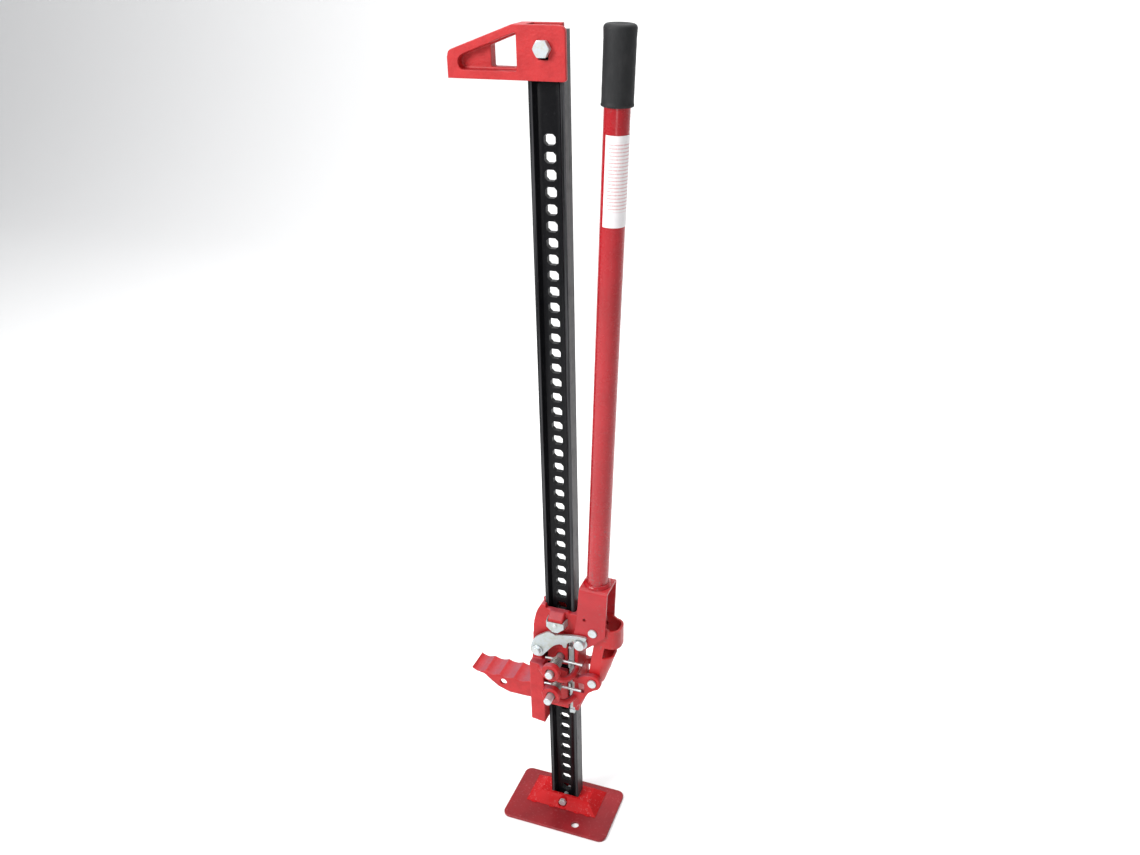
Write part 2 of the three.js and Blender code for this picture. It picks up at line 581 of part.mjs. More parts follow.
function addClimbingPin(prefix, z, drawn) {
  const tip = PIN_TIP - drawn;
  const tail = tip - PIN_LENGTH;
  const crossY = CROSS_PIN_Y - drawn;
  const profile = [
    [0, 0],
    [PIN_RADIUS - 1, 0],
    [PIN_RADIUS, 1],
    [PIN_RADIUS, PIN_LENGTH - 2],
    [PIN_RADIUS - 2, PIN_LENGTH],
    [0, PIN_LENGTH],
  ].map(([r, along]) => new THREE.Vector2(r, along));
  const body = toSolid(new THREE.LatheGeometry(profile, 18).translate(0, tail, z));
  const crossHole = barX(CROSS_PIN_RADIUS + GAP, [-20, 20], crossY, z, 10);
  addPiece(`${prefix}_climbing_pin`, cut(body, crossHole), zinc());
  const crossX = [CROSS_PIN_LEFT, CROSS_PIN_RIGHT];
  addPiece(`${prefix}_cross_pin`, barX(CROSS_PIN_RADIUS, crossX, crossY, z, 10), zinc());
  const springY = [EYE_FRONT + EYE_DEPTH + GAP, crossY - CROSS_PIN_RADIUS - GAP];
  addPiece(`${prefix}_pin_spring`, makeSpring(springY, z), springSteel());
}
addClimbingPin('upper', UPPER_PIN_Z, 0);
addClimbingPin('lower', LOWER_PIN_Z, PIN_TRAVEL);

// ---- small runner ----
const EAR_Y = [19.5, 28.5]; // each ear's inner and outer face
const LOWER_PIN_RADIUS = 6;
const UPPER_PIN_RADIUS = 5;
const SMALL_LOW = 222;
const SMALL_HIGH = 289.6;
function makeSmallRunner() {
  const back = RACK_HALF_DEPTH + SLIP;
  const shell = join(
    box([-21.2, 12.6], [-20, -FACE], [SMALL_LOW - 6, SMALL_HIGH]),
    box([12, 30.5], [-20, -FACE], [SMALL_LOW - 6, 238]),
    box([SIDE, 30.5], [-EAR_Y[1], EAR_Y[1]], [SMALL_LOW + 6, SMALL_HIGH]),
    box([SIDE, 30.5], [-20, back + 7], [SMALL_LOW - 6, SMALL_LOW + 7]),
    box([-28.3, SIDE + 1], [back + 0.4, back + 7], [SMALL_LOW, SMALL_HIGH]),
    box([-28.3, -SIDE], [-9, back + 7], [SMALL_LOW, SMALL_HIGH]),
  );
  const outline = new THREE.Shape();
  outline.moveTo(26, 228);
  outline.lineTo(36, 238);
  outline.lineTo(50, 263);
  outline.absarc(LOWER_PIVOT.x, LOWER_PIVOT.z, 13.6, -Math.PI * 0.42, Math.PI * 0.55, false);
  outline.lineTo(45, 295.5);
  outline.lineTo(33, 289);
  outline.lineTo(26, 287.5);
  const window = box([31.5, 42.5], [-40, 40], [261, 279]);
  const ear = (y) => cut(slabY(outline, y, 8), window);
  const ears = [ear([-EAR_Y[1], -EAR_Y[0]]), ear(EAR_Y)];
  const sideWindow = box([SIDE - 1, 43], [-40, -20.2], [261, 279]);
  const bow = makeBow(LOWER_PIN_Z, [-15, -19, LOWER_PIN_Z - 10]);
  const rackSpace = box([-SIDE, SIDE], [-FACE, back + 0.4], [150, 450]);
  const strapSlot = box([13.6, SIDE], [-20.8, -FACE + 1], [150, 345]);
  return cut(
    join(cut(join(shell, ...ears), sideWindow), bow),
    rackSpace,
    strapSlot,
    eyeBore(LOWER_PIN_Z),
    springRoom(LOWER_PIN_Z),
    guideBore(LOWER_PIN_Z),
    barY(LOWER_PIN_RADIUS + GAP, [-60, 60], LOWER_PIVOT.x, LOWER_PIVOT.z, 16),
  );
}
addPiece('small_runner_casting', makeSmallRunner(), redCasting());

const earFace = EAR_Y[1] + GAP;
addPiece('pitman_lower_pin', join(
  barY(7, [-earFace - 2.6, -earFace], LOWER_PIVOT.x, LOWER_PIVOT.z, 18),
  barY(LOWER_PIN_RADIUS, [-earFace, earFace + 5], LOWER_PIVOT.x, LOWER_PIVOT.z, 14),
), zinc());
const lowerRingY = [earFace, earFace + 2];
const lowerRing = makeWasher(9.5, LOWER_PIN_RADIUS + GAP, lowerRingY, LOWER_PIVOT.x, LOWER_PIVOT.z);
addPiece('lower_pin_ring', lowerRing, zinc());

// ---- pitman: a plate bent into a U, with a leg either side and two round webs ----
const PITMAN_SLOT = { halfWidth: 11.6, halfHeight: 7.2 };
const WEB_BEND = 15.5; // outside radius of the pitman's bends
// A length of the U: x is where its legs start and where its web ends, and the web leans by slope.
function makeWeb(x, z, slope) {
  const inner = LEG_OUTER - LEG_WALL;
  const reach = 30;
  const outside = roundedRectangle([x[0] - reach, x[1]], [-LEG_OUTER, LEG_OUTER], WEB_BEND);
  const inside = roundedRectangle([x[0] - reach - 9, x[1] - LEG_WALL], [-inner, inner], WEB_BEND - LEG_WALL);
  const lean = (outline, from, to) => {
    const depth = to - from;
    const slab = new THREE.ExtrudeGeometry(outline, { depth, bevelEnabled: false, curveSegments: 5 });
    const shear = new THREE.Matrix4().makeShear(0, 0, 0, 0, slope, 0);
    return toSolid(slab.translate(0, 0, from - z[1]).applyMatrix4(shear).translate(0, 0, z[1]));
  };
  const legs = box([x[0], x[1] + 60], [-LEG_OUTER - 1, LEG_OUTER + 1], [z[0] - 2, z[1] + 2]);
  return cut(lean(outside, z[0], z[1]), lean(inside, z[0] - 1, z[1] + 1)).intersect(legs);
}
function makePitman() {
  const upper = makeWeb([68, 96], [349, 381], 0);
  const lower = makeWeb([62, 85.5], [276, 328], 0.33);
  const outline = new THREE.Shape();
  outline.absarc(LOWER_PIVOT.x, LOWER_PIVOT.z, 10, -Math.PI, -Math.PI * 0.1, false);
  outline.lineTo(66, 300);
  outline.lineTo(70, 332);
  outline.lineTo(73, 349);
  outline.lineTo(83, 353);
  outline.lineTo(83, 379);
  outline.quadraticCurveTo(78, 388, CRANK.x, CRANK.z + 12);
  outline.absarc(CRANK.x - 4, CRANK.z, 12, Math.PI * 0.5, Math.PI * 1.12, false);
  outline.lineTo(56, 349);
  outline.lineTo(51.5, 321);
  const legs = [
    slabY(outline, [-LEG_OUTER, -LEG_OUTER + LEG_WALL], 6),
    slabY(outline, [LEG_OUTER - LEG_WALL, LEG_OUTER], 6),
  ];
  const slot = box(
    [CRANK.x - PITMAN_SLOT.halfWidth, CRANK.x + PITMAN_SLOT.halfWidth],
    [-30, 30],
    [CRANK.z - PITMAN_SLOT.halfHeight, CRANK.z + PITMAN_SLOT.halfHeight],
  );
  return cut(
    join(upper, lower, ...legs),
    slot,
    barY(LOWER_PIN_RADIUS + GAP, [-30, 30], LOWER_PIVOT.x, LOWER_PIVOT.z, 16),
  );
}
addPiece('pitman', makePitman(), redCasting());

// ---- handle, built upright about the fulcrum and then leaned out ----
const handle = new THREE.Group();
handle.position.set(FULCRUM.x, 0, FULCRUM.z);
handle.rotation.y = THREE.MathUtils.degToRad(HANDLE_TILT);
jack.add(handle);

const lean = THREE.MathUtils.degToRad(-HANDLE_TILT);
const crankX = (CRANK.x - FULCRUM.x) * Math.cos(lean) + (CRANK.z - FULCRUM.z) * Math.sin(lean);
const crankZ = (CRANK.z - FULCRUM.z) * Math.cos(lean) - (CRANK.x - FULCRUM.x) * Math.sin(lean);

function makeSocket() {
  const outline = new THREE.Shape();
  outline.absarc(0, 0, 13, Math.PI, -Math.PI * 0.33, false);
  outline.lineTo(24, 5);
  outline.lineTo(38, 21);
  outline.lineTo(38, SOCKET_TOP);
  outline.lineTo(-5.5, SOCKET_TOP);
  outline.lineTo(-7.2, 54);
  outline.quadraticCurveTo(-7.5, 30, -12.2, 12);
  const outer = SOCKET_INNER + PLATE;
  const block = slabY(outline, [-outer, outer], 6);
  const bend = 7;
  const channel = (half, top, radius) => {
    const shape = new THREE.Shape();
    shape.moveTo(-half, -40);
    shape.lineTo(half, -40);
    shape.lineTo(half, top - radius);
    shape.absarc(half - radius, top - radius, radius, 0, Math.PI / 2);
    shape.lineTo(-half + radius, top);
    shape.absarc(-half + radius, top - radius, radius, Math.PI / 2, Math.PI);
    const slab = new THREE.ExtrudeGeometry(shape, { depth: 120, bevelEnabled: false, curveSegments: 4 });
    return toSolid(slab.rotateX(Math.PI / 2).rotateZ(Math.PI / 2).translate(-60, 0, 0));
  };
  const outside = channel(outer, SOCKET_TOP, bend);
  const inside = channel(SOCKET_INNER, SOCKET_TOP - PLATE, bend - PLATE + 0.5);
  return cut(
    block.intersect(outside),
    inside,
    barY(shearBore, [-40, 40], 0, 0, 16),
    barY(UPPER_PIN_RADIUS + GAP, [-40, 40], crankX, crankZ, 14),
    barY(2.6, [-40, 40], 4.3, 44, 12),
  );
}
addPiece('handle_socket', makeSocket(), redCasting(), handle);

function lathe(profile, sides) {
  const points = profile.map(([r, h]) => new THREE.Vector2(r, h));
  return toSolid(new THREE.LatheGeometry(points, sides).rotateX(Math.PI / 2).translate(TUBE_OFFSET, 0, 0));
}
const tubeFoot = SOCKET_TOP + GAP;
const tubeBore = TUBE_RADIUS - TUBE_WALL;
addPiece('handle_tube', lathe([
  [tubeBore, tubeFoot],
  [TUBE_RADIUS, tubeFoot],
  [TUBE_RADIUS, TUBE_END],
  [tubeBore, TUBE_END],
  [tubeBore, tubeFoot],
], 24), redTube(), handle);
addPiece('handle_weld', lathe([
  [TUBE_RADIUS + GAP, tubeFoot], [TUBE_RADIUS + 4.5, tubeFoot], [TUBE_RADIUS + 3.2, tubeFoot + 3.4],
  [TUBE_RADIUS + GAP, tubeFoot + 4.6], [TUBE_RADIUS + GAP, tubeFoot],
], 24), redTube(), handle);
addPiece('handle_grip', lathe([
  [TUBE_RADIUS + GAP, GRIP_START], [GRIP_RADIUS - 0.8, GRIP_START], [GRIP_RADIUS, GRIP_START + 2],
  [GRIP_RADIUS, GRIP_END - 5], [GRIP_RADIUS - 4, GRIP_END], [0, GRIP_END], [0, TUBE_END + GAP],
  [TUBE_RADIUS + GAP, TUBE_END + GAP], [TUBE_RADIUS + GAP, GRIP_START],
], 24), rubber(), handle);

// A printed label wrapped part of the way round the tube.
function makeLabel() {
  const inner = TUBE_RADIUS + GAP;
  const outer = inner + 0.25;
  const from = THREE.MathUtils.degToRad(LABEL.from);
  const to = THREE.MathUtils.degToRad(LABEL.to);
  const shape = new THREE.Shape();
  shape.absarc(TUBE_OFFSET, 0, outer, from, to, false);
  shape.absarc(TUBE_OFFSET, 0, inner, to, from, true);
  return slabZ(shape, [LABEL.low, LABEL.high], 12);
}
addPiece('handle_label', makeLabel(), paper(), handle);

const upperRing = makeWasher(8.5, UPPER_PIN_RADIUS + GAP, [socketFace, socketFace + 2], crankX, crankZ);
addPiece('pitman_upper_pin', join(
  barY(7, [-socketFace - 2.6, -socketFace], crankX, crankZ, 18),
  barY(UPPER_PIN_RADIUS, [-socketFace, socketFace + 5], crankX, crankZ, 14),
), zinc(), handle);
addPiece('upper_pin_ring', upperRing, zinc(), handle);

export default jack;
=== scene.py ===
import json
import math

import bmesh
import bpy
from mathutils import Matrix, Vector

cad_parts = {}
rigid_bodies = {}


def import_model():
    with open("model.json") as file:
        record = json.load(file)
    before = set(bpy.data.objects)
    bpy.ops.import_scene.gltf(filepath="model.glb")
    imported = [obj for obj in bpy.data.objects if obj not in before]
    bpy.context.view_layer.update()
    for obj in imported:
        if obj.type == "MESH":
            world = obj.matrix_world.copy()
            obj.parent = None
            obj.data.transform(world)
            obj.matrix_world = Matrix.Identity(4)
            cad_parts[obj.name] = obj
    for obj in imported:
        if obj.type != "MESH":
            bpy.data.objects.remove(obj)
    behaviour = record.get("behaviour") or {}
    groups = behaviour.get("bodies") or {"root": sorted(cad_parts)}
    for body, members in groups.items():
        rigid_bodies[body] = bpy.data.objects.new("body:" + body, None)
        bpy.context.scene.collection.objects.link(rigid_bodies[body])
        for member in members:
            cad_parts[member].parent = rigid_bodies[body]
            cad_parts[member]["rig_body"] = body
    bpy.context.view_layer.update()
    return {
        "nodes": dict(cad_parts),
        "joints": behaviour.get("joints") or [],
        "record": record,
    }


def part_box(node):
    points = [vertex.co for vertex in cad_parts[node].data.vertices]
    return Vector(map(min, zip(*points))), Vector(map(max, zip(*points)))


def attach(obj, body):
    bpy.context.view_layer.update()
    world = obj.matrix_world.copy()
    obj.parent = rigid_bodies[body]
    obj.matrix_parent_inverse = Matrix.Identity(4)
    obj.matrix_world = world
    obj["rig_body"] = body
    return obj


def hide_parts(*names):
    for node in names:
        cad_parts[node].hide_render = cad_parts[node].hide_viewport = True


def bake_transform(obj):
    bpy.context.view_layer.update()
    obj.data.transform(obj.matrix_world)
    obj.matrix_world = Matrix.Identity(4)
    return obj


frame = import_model()

# Lengths are in millimetres, in the frame of the jack, except where a comment says metres.
MM = 0.001
TAU = 2 * math.pi
BODY_OF = {n: b for b, ns in frame["record"]["behaviour"]["bodies"].items() for n in ns}
SLOT_OF = {s["node"]: s["material_slot"] for s in frame["record"]["subparts"]}
JOINT = {j["name"]: j for j in frame["joints"]}


def place_of(joint):
    """A hinge's place."""
    return Vector(JOINT[joint]["pos_m"]) / MM


def box_mm(node):
    """The low and high corners of a CAD node's box."""
    low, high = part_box(node)
    return low / MM, high / MM


def middle(node):
    """The middle of a CAD node's box."""
    low, high = box_mm(node)
    return (low + high) / 2


# ---- camera, floor and light ----
CAMERA_PLACE = Vector((485.3, -1217.6, 1354.3))
CAMERA_YAW = 21.01
CAMERA_PITCH = 26.49
CAMERA_ROLL = -1.15
CAMERA_LENS = 33.08
CAMERA_SENSOR = 36
CAMERA_NEAR = 0.02  # metres

# The room is in metres. Each light has a place, an aim, a size and a power in watts.
LIGHTS = {
    "key": ((-1.7, -2.3, 2.5), (0, 0, 0.6), (1.5, 1.5), 105),
    "fill": ((0.9, -2.6, 1.2), (0, 0, 0.6), (0.6, 1.6), 10),
    "overhead": ((-0.2, 0.3, 3.0), (0, 0, 0.4), (2.0, 1.6), 46),
    "backdrop": ((0, 0.6, 2.9), (0, 4.2, 1.6), (3.0, 0.8), 95),
}
SKY_COLOR = (0.97, 0.98, 1, 1)
SKY_STRENGTH = 0.42
FLOOR_COLOR = (0.92, 0.92, 0.92, 1)
FLOOR_FRONT = -5.0
FLOOR_HALF_WIDTH = 6
COVE_START = 2.6
COVE_RADIUS = 1.6
BACKDROP_TOP = 6.0


def make_camera():
    yaw, pitch, roll = (math.radians(a) for a in (CAMERA_YAW, CAMERA_PITCH, CAMERA_ROLL))
    ahead = Vector((
        -math.sin(yaw) * math.cos(pitch), math.cos(yaw) * math.cos(pitch), -math.sin(pitch),
    ))
    level = Vector((math.cos(yaw), math.sin(yaw), 0))
    upright = level.cross(ahead)
    right = math.cos(roll) * level + math.sin(roll) * upright
    up = math.cos(roll) * upright - math.sin(roll) * level
    camera = bpy.data.objects.new("camera", bpy.data.cameras.new("camera"))
    camera.data.lens = CAMERA_LENS
    camera.data.sensor_width = CAMERA_SENSOR
    camera.data.clip_start = CAMERA_NEAR
    turned = Matrix((right, up, -ahead)).transposed().to_4x4()
    camera.matrix_world = Matrix.Translation(CAMERA_PLACE * MM) @ turned
    bpy.context.scene.collection.objects.link(camera)
    bpy.context.scene.camera = camera


def make_light(name, place, aim, size, power):
    light = bpy.data.objects.new(name, bpy.data.lights.new(name, "AREA"))
    light.data.shape = "RECTANGLE"
    light.data.size, light.data.size_y = size
    light.data.energy = power
    light.location = place
    light.rotation_euler = (Vector(aim) - Vector(place)).to_track_quat("-Z", "Y").to_euler()
    bpy.context.scene.collection.objects.link(light)


def make_floor():
    """A plain floor that curves up into the backdrop."""
    bm = bmesh.new()
    angles = [math.radians(a) for a in range(0, 91, 6)]
    sheet = [(FLOOR_FRONT, 0.0)]
    sheet += [
        (COVE_START + COVE_RADIUS * math.sin(a), COVE_RADIUS - COVE_RADIUS * math.cos(a))
        for a in angles
    ]
    sheet += [(COVE_START + COVE_RADIUS, BACKDROP_TOP)]
    points = [bm.verts.new((-FLOOR_HALF_WIDTH, y, z)) for y, z in sheet]
    edges = [bm.edges.new(pair) for pair in zip(points, points[1:])]
    wide = bmesh.ops.extrude_edge_only(bm, edges=edges)["geom"]
    far = [v for v in wide if isinstance(v, bmesh.types.BMVert)]
    bmesh.ops.translate(bm, vec=(2 * FLOOR_HALF_WIDTH, 0, 0), verts=far)
    bmesh.ops.recalc_face_normals(bm, faces=bm.faces)
    mesh = bpy.data.meshes.new("floor")
    bm.to_mesh(mesh)
    bm.free()
    mesh.shade_smooth()
    floor = bpy.data.objects.new("floor", mesh)
    bpy.context.scene.collection.objects.link(floor)
    matte = bpy.data.materials.new("floor")
    matte.use_nodes = True
    shader = matte.node_tree.nodes["Principled BSDF"]
    shader.inputs["Base Color"].default_value = FLOOR_COLOR
    shader.inputs["Roughness"].default_value = 0.8
    shader.inputs["Specular IOR Level"].default_value = 0.1
    mesh.materials.append(matte)


def make_studio():
    bpy.context.scene.view_settings.view_transform = "Standard"
    world = bpy.data.worlds.new("studio")
    world.use_nodes = True
    background = world.node_tree.nodes["Background"]
    background.inputs["Color"].default_value = SKY_COLOR
    background.inputs["Strength"].default_value = SKY_STRENGTH
    bpy.context.scene.world = world
    for name, settings in LIGHTS.items():
        make_light(name, *settings)
    make_floor()


# ---- shared surface effects, as node groups ----
class Graph:
    """A small helper that adds nodes to a tree and links them."""

    def __init__(self, tree):
        self.tree = tree

    def node(self, kind, **settings):
        node = self.tree.nodes.new(kind)
        for key, value in settings.items():
            setattr(node, key, value)
        return node

    def wire(self, value, socket):
        """A link if value is a socket, or else the socket's own number."""
        if isinstance(value, bpy.types.NodeSocket):
            self.tree.links.new(value, socket)
        else:
            socket.default_value = value

    def math(self, operation, a, b=0.0):
        node = self.node("ShaderNodeMath", operation=operation)
        self.wire(a, node.inputs[0])
        self.wire(b, node.inputs[1])
        return node.outputs[0]

    def times(self, a, b):
        return self.math("MULTIPLY", a, b)

    def plus(self, a, b):
        return self.math("ADD", a, b)

    def minus(self, a, b):
        return self.math("SUBTRACT", a, b)

    def noise(self, vector, scale, detail=3.0, roughness=0.5):
        """Smooth noise. The scale is in features per metre, for a vector in metres."""
        node = self.node("ShaderNodeTexNoise")
        self.wire(vector, node.inputs["Vector"])
        self.wire(scale, node.inputs["Scale"])
        self.wire(detail, node.inputs["Detail"])
        self.wire(roughness, node.inputs["Roughness"])
        return node.outputs["Fac"]

    def cells(self, vector, scale, feature):
        """The distance to the nearest of some scattered points."""
        node = self.node("ShaderNodeTexVoronoi", feature=feature)
        self.wire(vector, node.inputs["Vector"])
        self.wire(scale, node.inputs["Scale"])
        return node.outputs["Distance"]

    def ramp(self, value, low, high):
        """0 at low, 1 at high, smooth between."""
        node = self.node("ShaderNodeMapRange", interpolation_type="SMOOTHSTEP")
        self.wire(value, node.inputs["Value"])
        self.wire(low, node.inputs["From Min"])
        self.wire(high, node.inputs["From Max"])
        return node.outputs["Result"]

    def mix(self, factor, a, b):
        """The colour a where the factor is 0, and b where it is 1."""
        node = self.node("ShaderNodeMix", data_type="RGBA")
        self.wire(factor, node.inputs[0])
        self.wire(a, node.inputs[6])
        self.wire(b, node.inputs[7])
        return node.outputs[2]

    def stretch(self, vector, scale):
        node = self.node("ShaderNodeMapping")
        self.wire(vector, node.inputs["Vector"])
        node.inputs["Scale"].default_value = scale
        return node.outputs[0]

    def split(self, vector):
        node = self.node("ShaderNodeSeparateXYZ")
        self.wire(vector, node.inputs[0])
        return node.outputs

    def bump(self, height, distance):
        """A normal from a height. The distance, in metres, is what a height of 1 stands for."""
        node = self.node("ShaderNodeBump")
        self.wire(height, node.inputs["Height"])
        node.inputs["Distance"].default_value = distance
        node.inputs["Strength"].default_value = 1.0
        return node.outputs[0]

    def group(self, tree, **values):
        node = self.node("ShaderNodeGroup")
        node.node_tree = tree
        for key, value in values.items():
            self.wire(value, node.inputs[key])
        return node.outputs


def new_group(name, inputs, outputs):
    """A shader group with float inputs {name: default}, a Vector input, and float outputs."""
    tree = bpy.data.node_groups.new(name, "ShaderNodeTree")
    tree.interface.new_socket(name="Vector", in_out="INPUT", socket_type="NodeSocketVector")
    for key, value in inputs.items():
        socket = tree.interface.new_socket(name=key, in_out="INPUT", socket_type="NodeSocketFloat")
        socket.default_value = value
    for key in outputs:
        tree.interface.new_socket(name=key, in_out="OUTPUT", socket_type="NodeSocketFloat")
    graph = Graph(tree)
    given = graph.node("NodeGroupInput").outputs
    return graph, given, graph.node("NodeGroupOutput").inputs


def make_sand_cast():
    """The lumpy skin of a sand casting: soft swells, fine grain and small pits."""
    g, given, out = new_group("sand cast skin", {"Scale": 1.0}, ["Height", "Tone"])
    place, scale = given["Vector"], given["Scale"]
    swell = g.noise(place, scale=g.times(scale, 260.0), detail=2.0)
    grain = g.noise(place, scale=g.times(scale, 1500.0), detail=3.0, roughness=0.6)
    pit = g.ramp(g.cells(place, g.times(scale, 420.0), "SMOOTH_F1"), low=0.0, high=0.28)
    height = g.plus(g.times(swell, 0.9), g.times(grain, 0.35))
    g.wire(g.plus(height, g.times(pit, 0.35)), out["Height"])
    g.wire(g.noise(place, scale=55.0, detail=4.0, roughness=0.65), out["Tone"])
    return g.tree


def make_edge_wear_and_crease_shade():
    """A broken mask along outside edges, and a cloudy one in inside corners for painted shade."""
    g, given, out = new_group("edge wear and crease shade", {"Reach": 0.06, "Amount": 0.5}, ["Worn", "Painted crease shade"])
    place, reach = given["Vector"], given["Reach"]
    level = 0.5  # pointiness of a flat surface
    bend = g.node("ShaderNodeNewGeometry").outputs["Pointiness"]
    edge = g.ramp(bend, low=level, high=g.plus(level, reach))
    patch = g.ramp(g.noise(place, scale=230.0, detail=5.0, roughness=0.7), low=0.56, high=0.68)
    g.wire(g.times(g.times(edge, patch), given["Amount"]), out["Worn"])
    # Painted shade: a mask for darkening inside corners.
    inside = g.ramp(bend, low=level, high=g.minus(level, reach))
    cloud = g.ramp(g.noise(place, scale=90.0, detail=4.0, roughness=0.6), low=0.25, high=0.75)
    g.wire(g.times(inside, cloud), out["Painted crease shade"])
    return g.tree


def make_sprayed_paint():
    """The orange peel of sprayed enamel, with a slow change of tone and a few dust nibs."""
    g, given, out = new_group("sprayed paint", {"Peel": 900.0}, ["Height", "Tone"])
    place = given["Vector"]
    peel = g.noise(place, scale=given["Peel"], detail=1.0, roughness=0.4)
    nib = g.minus(1.0, g.ramp(g.cells(place, 95.0, "F1"), low=0.03, high=0.07))
    g.wire(g.plus(peel, g.times(nib, 0.8)), out["Height"])
    g.wire(g.noise(place, scale=14.0, detail=4.0, roughness=0.6), out["Tone"])
    return g.tree


def make_handling_marks():
    """Fine scratches and rubbed patches from handling."""
    g, given, out = new_group("handling marks", {"Density": 0.5}, ["Scratch", "Rub"])
    place = given["Vector"]
    along = g.noise(g.stretch(place, (700, 700, 26)), scale=1.0, detail=2.0)
    across = g.noise(g.stretch(place, (40, 600, 600)), scale=1.0, detail=2.0)
    low, high = g.minus(0.80, g.times(given["Density"], 0.14)), 0.84
    lines = g.math("MAXIMUM", g.ramp(along, low, high), g.ramp(across, low, high))
    where = g.ramp(g.noise(place, scale=30.0, detail=3.0), low=0.5, high=0.62)
    g.wire(g.times(lines, where), out["Scratch"])
    rubbed = g.noise(place, scale=70.0, detail=5.0, roughness=0.65)
    g.wire(g.ramp(rubbed, low=0.45, high=0.75), out["Rub"])
    return g.tree


SAND_CAST = make_sand_cast()
EDGE_WEAR_AND_CREASE_SHADE = make_edge_wear_and_crease_shade()
SPRAYED_PAINT = make_sprayed_paint()
HANDLING_MARKS = make_handling_marks()


# ---- finishes ----
CAST_IRON = (0.09, 0.085, 0.08, 1)
BARE_STEEL = (0.12, 0.11, 0.11, 1)
# A pale pink painted highlight, for faces that look up and towards the key light.
HIGHLIGHT_RED = (0.30, 0.075, 0.10, 1)
# A grey painted sheen for the rack's flange lips.
LIP_SHEEN_GREY = (0.05, 0.05, 0.053, 1)
# A dark painted shade colour for the inside corners of zinc.
ZINC_CREASE_SHADE = (0.13, 0.12, 0.11, 1)
ZINC_SCRATCH = (0.85, 0.87, 0.88, 1)
RUBBER = (0.012, 0.0125, 0.0135, 1)
RUBBER_DUSTY = (0.026, 0.026, 0.0275, 1)
RUBBER_WORN = (0.12, 0.12, 0.115, 1)
FILM = (0.86, 0.83, 0.83, 1)
FILM_SOILED = (0.78, 0.76, 0.77, 1)
LABEL_INK = (0.62, 0.16, 0.17, 1)
LABEL_ROWS = 26.0
LABEL_COLUMNS = 42.0


def new_finish(name, roughness, metallic=0.0, coat=0.0, coat_roughness=0.1):
    material = bpy.data.materials.new(name)
    material.use_nodes = True
    graph = Graph(material.node_tree)
    shader = material.node_tree.nodes["Principled BSDF"].inputs
    shader["Roughness"].default_value = roughness
    shader["Metallic"].default_value = metallic
    shader["Coat Weight"].default_value = coat
    shader["Coat Roughness"].default_value = coat_roughness
    place = graph.node("ShaderNodeTexCoord").outputs["Object"]
    return material, graph, shader, place


def painted_casting(name, color, shade, scale=1.0, depth=0.00035, painted_highlight=0.8):
    """Enamel sprayed over a rough casting, with a pale painted highlight where the mesh's own attribute
    has it, and painted shade in inside corners.
    """
    material, g, shader, place = new_finish(name, 0.45, coat=0.12, coat_roughness=0.3)
    shader["Specular IOR Level"].default_value = 0.35
    skin = g.group(SAND_CAST, Vector=place, Scale=scale)
    edge = g.group(EDGE_WEAR_AND_CREASE_SHADE, Vector=place, Reach=0.07, Amount=0.8)
    toned = g.mix(g.ramp(skin["Tone"], low=0.3, high=0.75), color, shade)
    # Painted shade: inside corners take a darker copy of the shade colour.
    crease_shade_color = tuple(0.35 * c for c in shade[:3]) + (1,)
    crease_shaded = g.mix(g.times(edge["Painted crease shade"], 0.55), toned, crease_shade_color)
    # Painted highlight: a pale tone on faces that look up and towards the key light, read from the mesh's
    # attribute.
    highlight_faces = g.node("ShaderNodeAttribute", attribute_name="painted_highlight").outputs["Fac"]
    cloud = g.ramp(g.noise(place, scale=160.0, detail=4.0, roughness=0.6), low=0.1, high=0.55)
    highlighted = g.mix(g.times(g.times(highlight_faces, cloud), painted_highlight), crease_shaded, HIGHLIGHT_RED)
    g.wire(g.mix(edge["Worn"], highlighted, CAST_IRON), shader["Base Color"])
    g.wire(g.plus(0.38, g.times(skin["Tone"], 0.24)), shader["Roughness"])
    g.wire(g.bump(skin["Height"], depth), shader["Normal"])
    return material


def sprayed_steel(name, color, shade, roughness, coat, peel=900.0, depth=0.00004, gloss=0.4,
                  edge_wear_and_highlight=BARE_STEEL, scuff=0.12, lip=0.0):
    """Smooth enamel on tube, bar or plate. Beyond lip metres from its middle it gets grey streaks of
    painted sheen.
    """
    material, g, shader, place = new_finish(name, roughness, coat=coat, coat_roughness=0.12)
    shader["Specular IOR Level"].default_value = gloss
    paint = g.group(SPRAYED_PAINT, Vector=place, Peel=peel)
    marks = g.group(HANDLING_MARKS, Vector=place, Density=0.4)
    edge = g.group(EDGE_WEAR_AND_CREASE_SHADE, Vector=place, Reach=0.1, Amount=0.6)
    toned = g.mix(g.ramp(paint["Tone"], low=0.3, high=0.7), color, shade)
    scratched = tuple(min(1, 1.8 * c + 0.03) for c in color[:3]) + (1,)
    scuffed = g.mix(g.times(marks["Scratch"], scuff), toned, scratched)
    # Painted sheen: grey streaks on the flange lips, a painted reflection of the key light.
    if lip:
        outer = g.ramp(g.math("ABSOLUTE", g.split(place)[0]), low=lip, high=lip + 0.0006)
        drawn = g.noise(g.stretch(place, (500, 500, 7)), scale=1.0, detail=3.0, roughness=0.6)
        sheen_streak = g.ramp(drawn, low=0.3, high=0.62)
        scuffed = g.mix(g.times(outer, sheen_streak), scuffed, LIP_SHEEN_GREY)
    # Worn edges take the given edge colour; on the foot and its pocket that colour is a pale pink painted
    # highlight.
    g.wire(g.mix(edge["Worn"], scuffed, edge_wear_and_highlight), shader["Base Color"])
    g.wire(g.plus(roughness, g.times(marks["Rub"], 0.14)), shader["Roughness"])
    g.wire(g.bump(paint["Height"], depth), shader["Normal"])
    return material


